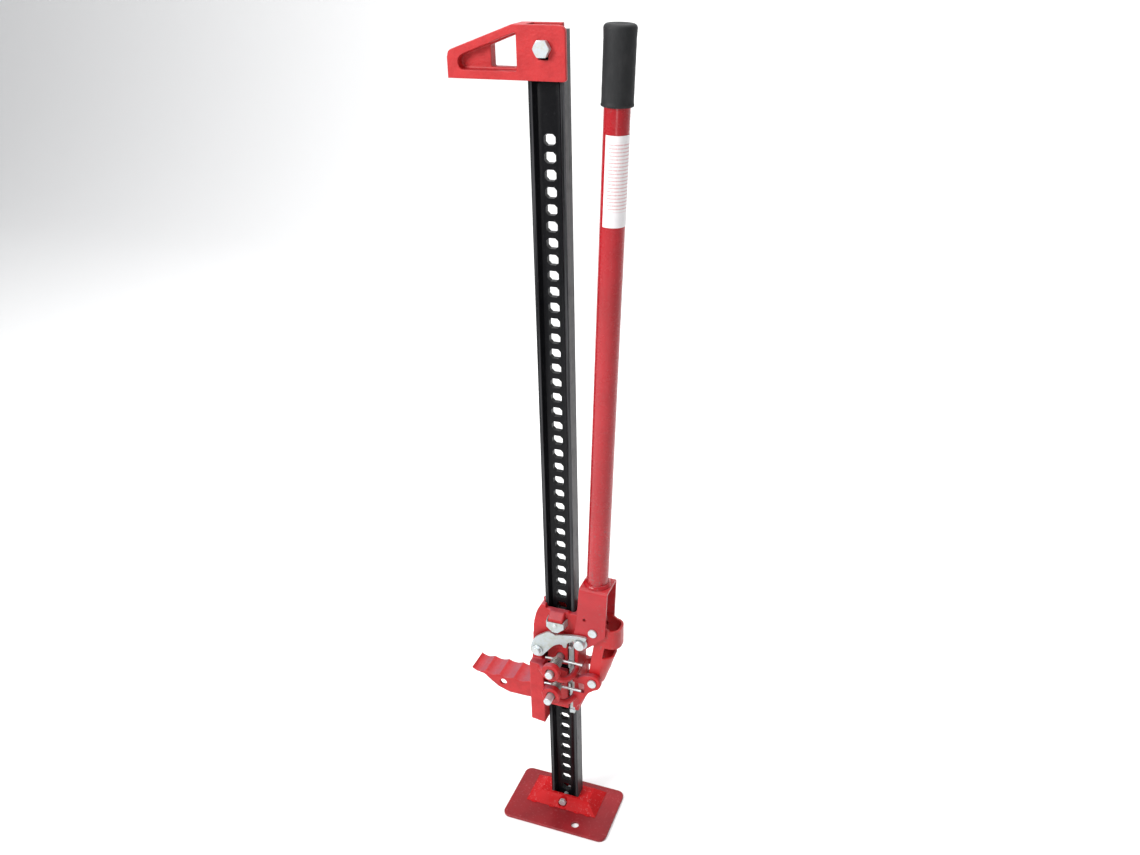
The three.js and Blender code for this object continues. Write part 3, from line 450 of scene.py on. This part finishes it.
def zinc_plate(name, color, roughness, fine=1.0, metallic=1.0):
    """Bright zinc plating, a little clouded and brushed, with a faint yellow cast in places."""
    material, g, shader, place = new_finish(name, roughness, metallic=metallic)
    cloud = g.noise(place, scale=120.0 * fine, detail=5.0, roughness=0.65)
    brushed = g.noise(g.stretch(place, (160, 2600, 2600)), scale=1.0, detail=3.0)
    marks = g.group(HANDLING_MARKS, Vector=place, Density=0.8)
    edge = g.group(EDGE_WEAR_AND_CREASE_SHADE, Vector=place, Reach=0.08, Amount=0.4)
    warm = (color[0] * 0.92, color[1] * 0.88, color[2] * 0.76, 1)
    toned = g.mix(g.ramp(cloud, low=0.42, high=0.7), color, warm)
    # Painted shade: inside corners of the zinc are darkened.
    crease_shaded_zinc = g.mix(g.times(edge["Painted crease shade"], 0.5), toned, ZINC_CREASE_SHADE)
    scratched = g.mix(g.times(marks["Scratch"], 0.4), crease_shaded_zinc, ZINC_SCRATCH)
    g.wire(scratched, shader["Base Color"])
    g.wire(g.plus(roughness, g.times(cloud, 0.22)), shader["Roughness"])
    height = g.plus(brushed, g.times(cloud, 0.6))
    g.wire(g.bump(height, 0.00003), shader["Normal"])
    return material


def moulded_rubber():
    """A matt moulded grip with a fine grain and pale dust on it."""
    material, g, shader, place = new_finish("grip rubber", 0.62)
    shader["Specular IOR Level"].default_value = 0.3
    grain = g.noise(place, scale=1700.0, detail=3.0, roughness=0.6)
    cloud = g.noise(g.stretch(place, (60, 60, 24)), scale=1.0, detail=5.0, roughness=0.7)
    edge = g.group(EDGE_WEAR_AND_CREASE_SHADE, Vector=place, Reach=0.1, Amount=0.7)
    toned = g.mix(g.ramp(cloud, low=0.4, high=0.8), RUBBER, RUBBER_DUSTY)
    g.wire(g.mix(edge["Worn"], toned, RUBBER_WORN), shader["Base Color"])
    g.wire(g.plus(0.5, g.times(cloud, 0.25)), shader["Roughness"])
    g.wire(g.bump(grain, 0.00012), shader["Normal"])
    return material


def printed_label():
    """White film with rows of broken pale red bars in place of any text, on the label's UV map."""
    material, g, shader, _ = new_finish("label print", 0.34)
    uv = g.node("ShaderNodeUVMap", uv_map="label").outputs["UV"]
    axes = g.split(uv)
    across, up = axes[0], axes[1]
    row = g.math("FRACT", g.times(up, LABEL_ROWS))
    inked = g.times(g.ramp(row, 0.28, 0.36), g.minus(1.0, g.ramp(row, 0.62, 0.70)))
    step = g.node("ShaderNodeCombineXYZ")
    g.wire(g.times(across, LABEL_COLUMNS), step.inputs[0])
    g.wire(g.math("FLOOR", g.times(up, LABEL_ROWS)), step.inputs[1])
    broken = g.ramp(g.noise(step.outputs[0], scale=1.0, detail=1.0), low=0.40, high=0.46)
    left = g.ramp(across, 0.13, 0.14)
    right = g.minus(1.0, g.ramp(across, 0.93, 0.94))
    low = g.ramp(up, 0.17, 0.18)
    high = g.minus(1.0, g.ramp(up, 0.93, 0.94))
    field = g.times(g.times(left, right), g.times(low, high))
    bars = g.times(g.times(inked, broken), field)
    soiled = g.ramp(g.noise(uv, scale=9.0, detail=4.0), low=0.3, high=0.8)
    paper = g.mix(soiled, FILM, FILM_SOILED)
    g.wire(g.mix(g.times(bars, 0.62), paper, LABEL_INK), shader["Base Color"])
    g.wire(g.bump(g.noise(uv, scale=30.0, detail=3.0), 0.00004), shader["Normal"])
    return material


FINISH = {
    "casting_red": painted_casting("casting red", (0.49, 0.013, 0.017, 1), (0.38, 0.009, 0.012, 1)),
    "clamp_red": painted_casting(
        "clamp red", (0.52, 0.020, 0.022, 1), (0.42, 0.013, 0.015, 1),
        # The clamp gets a weaker painted highlight.
        scale=1.1, depth=0.0008, painted_highlight=0.3,
    ),
    "pitman_red": sprayed_steel(
        "pitman red", (0.50, 0.011, 0.014, 1), (0.41, 0.008, 0.010, 1), roughness=0.4, coat=0.15,
    ),
    "socket_red": sprayed_steel(
        "socket red", (0.47, 0.019, 0.026, 1), (0.38, 0.013, 0.018, 1), roughness=0.42, coat=0.12,
    ),
    "tube_red": sprayed_steel(
        "tube red", (0.42, 0.006, 0.013, 1), (0.35, 0.005, 0.010, 1), roughness=0.24, coat=0.35,
        depth=0.000006, scuff=0.05,
    ),
    "base_red": sprayed_steel(
        "foot red", (0.29, 0.009, 0.014, 1), (0.20, 0.006, 0.010, 1), roughness=0.42, coat=0.1,
        # The foot plate's worn edges are a pale pink painted highlight.
        peel=600.0, depth=0.00008, gloss=0.3, edge_wear_and_highlight=(0.5, 0.16, 0.17, 1), scuff=0.35,
    ),
    "pocket_red": sprayed_steel(
        "pocket red", (0.50, 0.006, 0.009, 1), (0.40, 0.005, 0.007, 1), roughness=0.5, coat=0.0,
        # The pocket's worn edges are a pale pink painted highlight.
        peel=600.0, depth=0.00008, gloss=0.12, edge_wear_and_highlight=(0.72, 0.30, 0.30, 1), scuff=0.12,
    ),
    "rack_black": sprayed_steel(
        "rack black", (0.0035, 0.0036, 0.0045, 1), (0.0052, 0.0052, 0.0062, 1), roughness=0.3,
        coat=0.04, peel=500.0, depth=0.0001, gloss=0.12, edge_wear_and_highlight=(0.05, 0.05, 0.052, 1), scuff=0.2,
        # The rack's flange lips get streaks of painted sheen.
        lip=0.0181,
    ),
    "zinc_plate": zinc_plate("zinc plate", (0.50, 0.55, 0.565, 1), 0.36, metallic=0.8),
    "zinc_fastener": zinc_plate(
        "zinc fastener", (0.60, 0.64, 0.67, 1), 0.3, fine=2.0, metallic=0.6,
    ),
    "spring_steel": zinc_plate("spring steel", (0.30, 0.285, 0.28, 1), 0.34, fine=3.0, metallic=0.9),
    "grip_rubber": moulded_rubber(),
    "label_print": printed_label(),
}


# ---- shaping helpers ----
HEXAGON_TILT = 30  # degrees from the frame's X to the first flat
THREAD_STEPS = 28


def add_piece(bm, name, nodes, sharp=35.0, bevel=None, look=None):
    """Makes the bmesh a piece that stands for its CAD nodes, on their body."""
    bmesh.ops.scale(bm, vec=(MM, MM, MM), verts=bm.verts)
    mesh = bpy.data.meshes.new(name)
    bm.to_mesh(mesh)
    bm.free()
    piece = bpy.data.objects.new(name, mesh)
    bpy.context.scene.collection.objects.link(piece)
    mesh.shade_smooth()
    mesh.set_sharp_from_angle(angle=math.radians(sharp))
    mesh.materials.append(FINISH[look or SLOT_OF[nodes[0]]])
    if bevel:
        rounding = piece.modifiers.new("rounded edges", "BEVEL")
        rounding.width = bevel * MM
        rounding.segments = 2
        rounding.limit_method = "ANGLE"
        rounding.angle_limit = math.radians(sharp)
        rounding.harden_normals = True
    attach(piece, BODY_OF[nodes[0]])
    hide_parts(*nodes)
    return piece


def cad_copy(node):
    """A CAD node's shape, with its triangles merged into flat faces."""
    bm = bmesh.new()
    bm.from_mesh(frame["nodes"][node].data)
    bmesh.ops.scale(bm, vec=(1 / MM, 1 / MM, 1 / MM), verts=bm.verts)
    bmesh.ops.remove_doubles(bm, verts=bm.verts, dist=0.002)
    flat = math.radians(0.4)
    bmesh.ops.dissolve_limit(bm, angle_limit=flat, verts=bm.verts, edges=bm.edges)
    return bm


def spin(bm, geometry, steps, climb=(0, 0, 0), angle=TAU, closes=False):
    """Turns geometry about Z, and moves it by climb at each step."""
    bmesh.ops.spin(
        bm, geom=geometry, cent=(0, 0, 0), axis=(0, 0, 1), dvec=climb, angle=angle, steps=steps,
        use_merge=closes,
    )


def turn(profile, centre, along="Y", steps=48, closed=False):
    """Turns (radius, distance) points about a line through centre, along one axis."""
    bm = bmesh.new()
    points = [bm.verts.new((r, 0, d)) for r, d in profile]
    pairs = list(zip(points, points[1:])) + ([(points[-1], points[0])] if closed else [])
    edges = [bm.edges.new(pair) for pair in pairs]
    spin(bm, points + edges, steps, closes=True)
    bmesh.ops.remove_doubles(bm, verts=bm.verts, dist=0.0005)
    bmesh.ops.recalc_face_normals(bm, faces=bm.faces)
    lay = {
        "X": Matrix.Rotation(math.pi / 2, 4, "Y"),
        "Y": Matrix.Rotation(-math.pi / 2, 4, "X"),
        "Z": Matrix(),
    }
    bmesh.ops.transform(bm, matrix=Matrix.Translation(centre) @ lay[along], verts=bm.verts)
    return bm


def merge(*parts):
    """One bmesh out of several closed ones."""
    whole = bmesh.new()
    for part in parts:
        mesh = bpy.data.meshes.new("part")
        part.to_mesh(mesh)
        part.free()
        whole.from_mesh(mesh)
        bpy.data.meshes.remove(mesh)
    return whole


def cut_flat(bm, place, normal):
    """Cuts off what lies beyond a plane and closes the cut."""
    geometry = bm.verts[:] + bm.edges[:] + bm.faces[:]
    cut = bmesh.ops.bisect_plane(
        bm, geom=geometry, plane_co=place, plane_no=normal, clear_outer=True, dist=0.0001,
    )
    rim = [e for e in cut["geom_cut"] if isinstance(e, bmesh.types.BMEdge)]
    if rim:
        bmesh.ops.edgeloop_fill(bm, edges=rim)


def hexagon(across, y, centre, bore=None):
    """A bolt head, or a nut if it has a bore: a turned blank with six flats.

    y is (seat, outer face)."""
    corner = across / math.sqrt(3) + 0.01
    flat = across / 2 - 0.25
    seat, face = y
    way = 1 if face > seat else -1
    rise = (corner - flat) * math.tan(math.radians(30))
    if bore is None:
        profile = [
            (0, seat), (flat, seat), (corner, seat + way * 0.3), (corner, face - way * rise),
            (flat, face), (0, face),
        ]
    else:
        profile = [
            (bore + 0.5, seat), (flat, seat), (corner, seat + way * rise),
            (corner, face - way * rise), (flat, face), (bore + 0.5, face),
            (bore, face - way * 0.6), (bore, seat + way * 0.6),
        ]
    bm = turn(profile, (0, 0, 0), steps=72, closed=bore is not None)
    for i in range(6):
        angle = math.radians(60 * i + HEXAGON_TILT)
        normal = Vector((math.cos(angle), 0, math.sin(angle)))
        cut_flat(bm, normal * across / 2, normal)
    bmesh.ops.translate(bm, vec=(centre[0], 0, centre[2]), verts=bm.verts)
    return bm


def thread(radius, pitch, y, centre):
    """A helical thread along Y, from y[0] to y[1]: a zigzag turned once while it climbs a pitch."""
    length = y[1] - y[0]
    turns = math.ceil(length / pitch) + 3
    depth = 0.6 * pitch
    bm = bmesh.new()
    points = []
    for i in range(turns):
        points.append(bm.verts.new((radius - depth, 0, i * pitch)))
        points.append(bm.verts.new((radius, 0, (i + 0.45) * pitch)))
        points.append(bm.verts.new((radius, 0, (i + 0.6) * pitch)))
    edges = [bm.edges.new(pair) for pair in zip(points, points[1:])]
    spin(bm, points + edges, THREAD_STEPS, climb=(0, 0, pitch / THREAD_STEPS))
    bmesh.ops.remove_doubles(bm, verts=bm.verts, dist=0.001)
    start = 1.5 * pitch
    cut_flat(bm, (0, 0, start), (0, 0, -1))
    cut_flat(bm, (0, 0, start + length), (0, 0, 1))
    bmesh.ops.recalc_face_normals(bm, faces=bm.faces)
    lay = Matrix.Translation((centre[0], y[0] - start, centre[2])) @ Matrix.Rotation(-math.pi / 2, 4, "X")
    bmesh.ops.transform(bm, matrix=lay, verts=bm.verts)
    return bm


def shank(radius, y, centre):
    """A plain round bar along Y."""
    profile = [(0, y[0]), (radius, y[0]), (radius, y[1]), (0, y[1])]
    return turn(profile, (centre[0], 0, centre[2]), steps=32)


def washer(outer, bore, y, centre, edge=0.3):
    """A ring along Y with its outer edges broken."""
    low, high = y
    profile = [
        (bore, low), (outer - edge, low), (outer, low + edge),
        (outer, high - edge), (outer - edge, high), (bore, high),
    ]
    return turn(profile, (centre[0], 0, centre[2]), steps=48, closed=True)


def painted_highlight_on(normal):
    """How much painted highlight a casting gets: a pale tone most where it looks up and away from the
    handle, towards the key light on the left.
    """
    upward = min(max((normal.z - 0.5) / 0.4, 0), 1)
    return upward * min(max(0.62 - 1.6 * normal.x, 0), 1)


def soften_casting(bm, name, nodes, voxel=1.25, rounds=5):
    """Remeshes a casting so that every edge gets the soft radius of a sand mould."""
    bmesh.ops.scale(bm, vec=(MM, MM, MM), verts=bm.verts)
    mesh = bpy.data.meshes.new(name)
    bm.to_mesh(mesh)
    bm.free()
    rough = bpy.data.objects.new(name + " rough", mesh)
    bpy.context.scene.collection.objects.link(rough)
    skin = rough.modifiers.new("skin", "REMESH")
    skin.mode = "VOXEL"
    skin.voxel_size = voxel * MM * 1
    skin.use_smooth_shade = True
    relax = rough.modifiers.new("relax", "SMOOTH")
    relax.factor = 0.5
    relax.iterations = rounds
    graph = bpy.context.evaluated_depsgraph_get()
    shape = bpy.data.meshes.new_from_object(rough.evaluated_get(graph))
    bpy.data.objects.remove(rough)
    shaped = bmesh.new()
    shaped.from_mesh(shape)
    bpy.data.meshes.remove(shape)
    bmesh.ops.scale(shaped, vec=(1 / MM, 1 / MM, 1 / MM), verts=shaped.verts)
    shaped.normal_update()
    # Each vertex gets an amount of painted highlight from its normal.
    painted_highlight = shaped.verts.layers.float.new("painted_highlight")
    for vertex in shaped.verts:
        vertex[painted_highlight] = painted_highlight_on(vertex.normal)
    add_piece(shaped, name, nodes, sharp=80)


# ---- castings ----
def make_castings():
    large, small = ["large_runner_casting"], ["small_runner_casting"]
    soften_casting(cad_copy("top_clamp"), "clamp", ["top_clamp"], voxel=1.0, rounds=4)
    soften_casting(cad_copy("large_runner_casting"), "large_runner_body", large)
    soften_casting(cad_copy("small_runner_casting"), "small_runner_body", small, voxel=1.0)


# ---- rack and foot ----
TACKS_IN_FRONT = (-49, -17, 27, 46)
TACKS_BEHIND = (-45, -8, 38)
TACK_INSET = 0.6
TACK_SIZE = 1.2
BOLT_TACK_SIZE = 1.7


def weld_tack(x, y, z, size):
    """A small flattened bead of weld, longer along the seam."""
    bead = [
        (0, 0), (2.6 * size, 0), (2.4 * size, 0.5 * size), (1.4 * size, 1.1 * size), (0, 1.3 * size),
    ]
    bm = turn(bead, (0, 0, 0), "Z", 20)
    bmesh.ops.scale(bm, vec=(1.7, 0.8, 1), verts=bm.verts)
    bmesh.ops.translate(bm, vec=(x, y, z), verts=bm.verts)
    return bm


def make_rack_and_foot():
    add_piece(cad_copy("rack_bar"), "rack", ["rack_bar"], bevel=0.7)
    add_piece(cad_copy("base_plate"), "foot_plate", ["base_plate"], bevel=1.2)
    low, high = box_mm("base_pocket")
    tacks = [weld_tack(x, low.y + TACK_INSET, low.z, TACK_SIZE) for x in TACKS_IN_FRONT]
    tacks += [weld_tack(x, high.y - TACK_INSET, low.z, TACK_SIZE) for x in TACKS_BEHIND]
    tacks += [weld_tack(2, low.y + 2.4, low.z + 0.3, BOLT_TACK_SIZE)]
    pocket = merge(cad_copy("base_pocket"), *tacks)
    add_piece(pocket, "foot_pocket", ["base_pocket"], bevel=1.0, look="pocket_red")


# ---- plates ----
# Each bent or flat plate: its CAD node, and the radius of its broken edges.
PLATES = {
    "latch": ("reversing_latch", 0.6),
    "latch_clip": ("detent_clip", 0.3),
    "strap": ("release_strap", 0.4),
    "pitman_plate": ("pitman", 0.7),
    "socket": ("handle_socket", 0.8),
}


def make_plates():
    for name, (node, bevel) in PLATES.items():
        add_piece(cad_copy(node), name, [node], bevel=bevel)


# ---- fasteners ----
FULCRUM = place_of("handle_pivot")
THREADED = 14  # length of thread at a bolt's far end
THREAD_LAP = 0.5
HEAD_LAP = 0.2
LARGE_RADIUS, LARGE_PITCH, LARGE_BORE = 6, 1.75, 6.1


def threaded_shank(seat, end, radius, pitch, at):
    """A shank from under the head, threaded at its far end."""
    plain = shank(radius, (seat - HEAD_LAP, end - THREADED), at)
    return [plain, thread(radius, pitch, (end - THREADED - THREAD_LAP, end), at)]


def make_bolt(name, node, across, radius, pitch, head, flange=None):
    """A hexagon bolt seen from its head. flange is (height of the hexagon, flange radius)."""
    low, high = box_mm(node)
    at = middle(node)
    seat = low.y + head
    foot = low.y + flange[0] if flange else seat
    parts = [hexagon(across, (foot, low.y), at)]
    if flange:
        parts.append(washer(flange[1], 0.05, (foot - 0.1, seat), at))
    parts += threaded_shank(seat, high.y, radius, pitch, at)
    add_piece(merge(*parts), name, [node], sharp=30)


def make_nut(name, node, across, bore):
    low, high = box_mm(node)
    nut = hexagon(across, (low.y, high.y), middle(node), bore=bore)
    add_piece(nut, name, [node], sharp=30)


def make_washer(name, node, outer, bore):
    low, high = box_mm(node)
    add_piece(washer(outer, bore, (low.y, high.y), middle(node)), name, [node])


def make_pivot_bolt():
    """The round-headed bolt that the handle turns on."""
    low, high = box_mm("shear_bolt")
    seat = low.y + 8
    profile = [
        (0, low.y + 0.7), (3, low.y + 0.5), (6.6, low.y), (7.6, low.y + 0.3), (8.4, low.y + 1.3),
        (8.4, seat), (0, seat),
    ]
    parts = [turn(profile, (FULCRUM.x, 0, FULCRUM.z), steps=56)]
    parts += threaded_shank(seat, high.y, LARGE_RADIUS, LARGE_PITCH, FULCRUM)
    add_piece(merge(*parts), "handle_pivot_bolt", ["shear_bolt"], sharp=30)


def make_fasteners():
    make_bolt("clamp_bolt_m12", "clamp_bolt", 19, LARGE_RADIUS, LARGE_PITCH, head=7.5)
    make_nut("clamp_nut_m12", "clamp_nut", 19, LARGE_BORE)
    make_washer("clamp_plain_washer", "clamp_washer", 12, 6.3)
    make_bolt("foot_bolt", "base_bolt", 11, 4, 1.25, head=5)
    make_nut("foot_nut", "base_nut", 12, 4.1)
    make_bolt("latch_bolt", "latch_pivot_bolt", 11, 5, 1.5, head=6, flange=(4.6, 9))
    make_nut("latch_nut", "latch_pivot_nut", 14, 5.1)
    make_pivot_bolt()
    make_nut("handle_pivot_nut", "shear_bolt_nut", 18, LARGE_BORE)
    for name, node, outer in (("handle_pivot_washer", "pivot_washer", 11),
                              ("handle_pivot_bush", "pivot_bushing", 9)):
        low, high = box_mm(node)
        add_piece(washer(outer, 6.3, (low.y, high.y), FULCRUM), name, [node])

    low, high = box_mm("clip_rivet")
    at = middle("clip_rivet")
    dome = [
        (0, low.y), (1.6, low.y + 0.15), (2.8, low.y + 0.6), (3.4, low.y + 1.3),
        (3.3, low.y + 1.4), (2, low.y + 1.4), (2, high.y), (0, high.y),
    ]
    add_piece(turn(dome, (at.x, 0, at.z), steps=32), "clip_dome_rivet", ["clip_rivet"])
    low, high = box_mm("strap_peg")
    at = middle("strap_peg")
    peg = [(0, low.y), (2.1, low.y), (2.6, low.y + 0.5), (2.6, high.y), (0, high.y)]
    add_piece(turn(peg, (at.x, 0, at.z), steps=28), "strap_stud", ["strap_peg"])


def headed_pin(name, node, radius, ring_name, ring):
    """A pin peened over at the front and held by a ring at the back."""
    low, high = box_mm(node)
    at = middle(node)
    head = (high.x - low.x) / 2
    face = low.y
    profile = [
        (0, face + 0.5), (head * 0.45, face + 0.35), (head * 0.8, face), (head - 0.35, face + 0.2),
        (head, face + 0.7), (head, face + 2.6), (radius, face + 2.6), (radius, high.y - 0.6),
        (radius - 0.6, high.y), (0, high.y),
    ]
    add_piece(turn(profile, (at.x, 0, at.z), steps=48), name, [node])
    low, high = box_mm(ring)
    outer = (high.x - low.x) / 2
    add_piece(washer(outer, radius + 0.3, (low.y, high.y), at, edge=0.5), ring_name, [ring])


# ---- climbing pins ----
PIN_RADIUS = 6
CROSS_PIN_RADIUS = 1.9
SPRING_WIRE = 0.95  # radius of the wire
SPRING_TURNS = 6
SPRING_STEPS = SPRING_TURNS * 28


def make_climbing_set(prefix):
    """A climbing pin and the thin pin across it."""
    node = f"{prefix}_climbing_pin"
    low, high = box_mm(node)
    at = middle(node)
    profile = [
        (0, low.y + 0.6), (2.2, low.y + 0.45), (4.0, low.y), (5.2, low.y + 0.25),
        (PIN_RADIUS, low.y + 1.0), (PIN_RADIUS, high.y - 3), (4.2, high.y), (0, high.y),
    ]
    add_piece(turn(profile, (at.x, 0, at.z), steps=48), f"{prefix}_pin", [node])
    rod = f"{prefix}_cross_pin"
    low, high = box_mm(rod)
    at = middle(rod)
    thin = CROSS_PIN_RADIUS
    profile = [
        (0, low.x), (thin - 0.5, low.x), (thin, low.x + 0.5),
        (thin, high.x - 0.5), (thin - 0.5, high.x), (0, high.x),
    ]
    add_piece(turn(profile, (0, at.y, at.z), along="X", steps=24), f"{prefix}_rod", [rod])


def make_spring(prefix):
    """A coil of round wire that shortens and lengthens as its pin slides."""
    node = f"{prefix}_pin_spring"
    low, high = box_mm(node)
    at = middle(node)
    wire = SPRING_WIRE
    radius = (high.x - low.x) / 2 - wire
    length = high.y - low.y - 2 * wire
    bm = bmesh.new()
    made = bmesh.ops.create_circle(bm, segments=10, radius=wire)
    stand = Matrix.Translation((radius, 0, 0)) @ Matrix.Rotation(math.pi / 2, 4, "X")
    bmesh.ops.transform(bm, matrix=stand, verts=made["verts"])
    climb = (0, 0, length / SPRING_STEPS)
    spin(bm, bm.verts[:] + bm.edges[:], SPRING_STEPS, climb, TAU * SPRING_TURNS)
    bmesh.ops.holes_fill(bm, edges=[e for e in bm.edges if e.is_boundary])
    bmesh.ops.recalc_face_normals(bm, faces=bm.faces)
    lay = Matrix.Translation((at.x, low.y + wire, at.z)) @ Matrix.Rotation(-math.pi / 2, 4, "X")
    bmesh.ops.transform(bm, matrix=lay, verts=bm.verts)
    piece = add_piece(bm, f"{prefix}_spring", [node], sharp=60)
    piece.parent = None
    del piece["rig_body"]
    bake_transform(piece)


# ---- handle ----
# Distances along the handle are from the fulcrum, up its tilted axis.
HANDLE_TILT = 2.45
HANDLE = Matrix.Translation(FULCRUM) @ Matrix.Rotation(math.radians(HANDLE_TILT), 4, "Y")
TUBE_CENTRE = (15.4, 0, 0)
TUBE_RADIUS = 16.3
TUBE_BORE = 13.7
TUBE_FOOT = 100.35
TUBE_END = 874
PLAY = 0.35  # between the tube and what is on it
GRIP_START = 789
GRIP_END = 881
GRIP_RADIUS = 20
GRIP_RIBS = 9
GRIP_RIB_PITCH = 8
GRIP_DOME = 5
WELD_RIPPLES = 34
LABEL_LOW = 645
LABEL_HIGH = 757
LABEL_FROM = -120
LABEL_SWEEP = 135


def on_handle(bm):
    """Moves a shape made on the handle's own axes to where the handle is at rest."""
    bmesh.ops.transform(bm, matrix=HANDLE, verts=bm.verts)
    return bm


def make_tube():
    profile = [
        (TUBE_BORE, TUBE_FOOT), (TUBE_RADIUS, TUBE_FOOT), (TUBE_RADIUS, 300), (TUBE_RADIUS, 600),
        (TUBE_RADIUS, TUBE_END - 0.5), (TUBE_RADIUS - 0.5, TUBE_END), (TUBE_BORE, TUBE_END),
    ]
    tube = turn(profile, TUBE_CENTRE, "Z", 96, closed=True)
    add_piece(on_handle(tube), "tube", ["handle_tube"])


def make_grip():
    """A moulded grip with a lip at its foot, shallow ribs and a domed end."""
    profile = [
        (TUBE_RADIUS + PLAY, GRIP_START), (19.6, GRIP_START), (GRIP_RADIUS, GRIP_START + 0.6),
        (GRIP_RADIUS, GRIP_START + 2.6), (19.55, GRIP_START + 3.4), (19.5, GRIP_START + 7),
    ]
    profile += [
        (19.45 + 0.12 * (i % 2), GRIP_START + 12 + GRIP_RIB_PITCH * i) for i in range(GRIP_RIBS)
    ]
    for degrees in range(0, 91, 15):
        angle = math.radians(degrees)
        radius = GRIP_RADIUS - GRIP_DOME * (1 - math.cos(angle))
        profile.append((radius, GRIP_END - GRIP_DOME * (1 - math.sin(angle))))
    profile += [
        (9, GRIP_END - 0.2), (6, GRIP_END - 0.8), (0, GRIP_END - 1), (0, TUBE_END + PLAY),
        (TUBE_RADIUS + PLAY, TUBE_END + PLAY),
    ]
    grip = turn(profile, TUBE_CENTRE, "Z", 72, closed=True)
    add_piece(on_handle(grip), "grip", ["handle_grip"])


def make_weld():
    """A fillet of weld with the ripples of its pool."""
    bead = [
        (TUBE_RADIUS + PLAY, TUBE_FOOT), (TUBE_RADIUS + 4.4, TUBE_FOOT),
        (TUBE_RADIUS + 4.3, TUBE_FOOT + 1.2), (TUBE_RADIUS + 2.9, TUBE_FOOT + 3.0),
        (TUBE_RADIUS + 1.3, TUBE_FOOT + 4.3), (TUBE_RADIUS + PLAY, TUBE_FOOT + 4.6),
    ]
    bm = turn(bead, (0, 0, 0), "Z", WELD_RIPPLES * 6, closed=True)
    for vertex in bm.verts:
        if math.hypot(vertex.co.x, vertex.co.y) > TUBE_RADIUS + 1:
            angle = math.atan2(vertex.co.y, vertex.co.x)
            ripple = abs(math.sin(WELD_RIPPLES * angle / 2 + 0.35 * vertex.co.z))
            swell = 1 - 0.014 * ripple - 0.012 * math.sin(5 * angle)
            vertex.co.x *= swell
            vertex.co.y *= swell
    bmesh.ops.translate(bm, vec=TUBE_CENTRE, verts=bm.verts)
    add_piece(on_handle(bm), "tube_weld", ["handle_weld"], sharp=70)


def make_label():
    """A wrapped label with its own UV map: across the label, then up it."""
    inner, outer = TUBE_RADIUS + 0.12, TUBE_RADIUS + 0.42
    bm = bmesh.new()
    corners = [(inner, LABEL_LOW), (outer, LABEL_LOW), (outer, LABEL_HIGH), (inner, LABEL_HIGH)]
    points = [bm.verts.new((r, 0, z)) for r, z in corners]
    first = Matrix.Rotation(math.radians(LABEL_FROM), 3, "Z")
    bmesh.ops.rotate(bm, cent=(0, 0, 0), matrix=first, verts=points)
    edges = [bm.edges.new(pair) for pair in zip(points, points[1:] + points[:1])]
    spin(bm, points + edges, 40, angle=math.radians(LABEL_SWEEP))
    bmesh.ops.holes_fill(bm, edges=[e for e in bm.edges if e.is_boundary])
    bmesh.ops.recalc_face_normals(bm, faces=bm.faces)
    layer = bm.loops.layers.uv.new("label")
    for face in bm.faces:
        for loop in face.loops:
            angle = math.degrees(math.atan2(loop.vert.co.y, loop.vert.co.x))
            across = (angle - LABEL_FROM) / LABEL_SWEEP
            loop[layer].uv = (across, (loop.vert.co.z - LABEL_LOW) / (LABEL_HIGH - LABEL_LOW))
    bmesh.ops.translate(bm, vec=TUBE_CENTRE, verts=bm.verts)
    add_piece(on_handle(bm), "label", ["handle_label"])


make_camera()
make_studio()
make_castings()
make_rack_and_foot()
make_plates()
make_fasteners()
headed_pin("pitman_lower_stud", "pitman_lower_pin", 6, "pitman_lower_ring", "lower_pin_ring")
headed_pin("pitman_upper_stud", "pitman_upper_pin", 5, "pitman_upper_ring", "upper_pin_ring")
make_climbing_set("upper")
make_climbing_set("lower")
make_spring("upper")
make_spring("lower")
make_tube()
make_grip()
make_weld()
make_label()
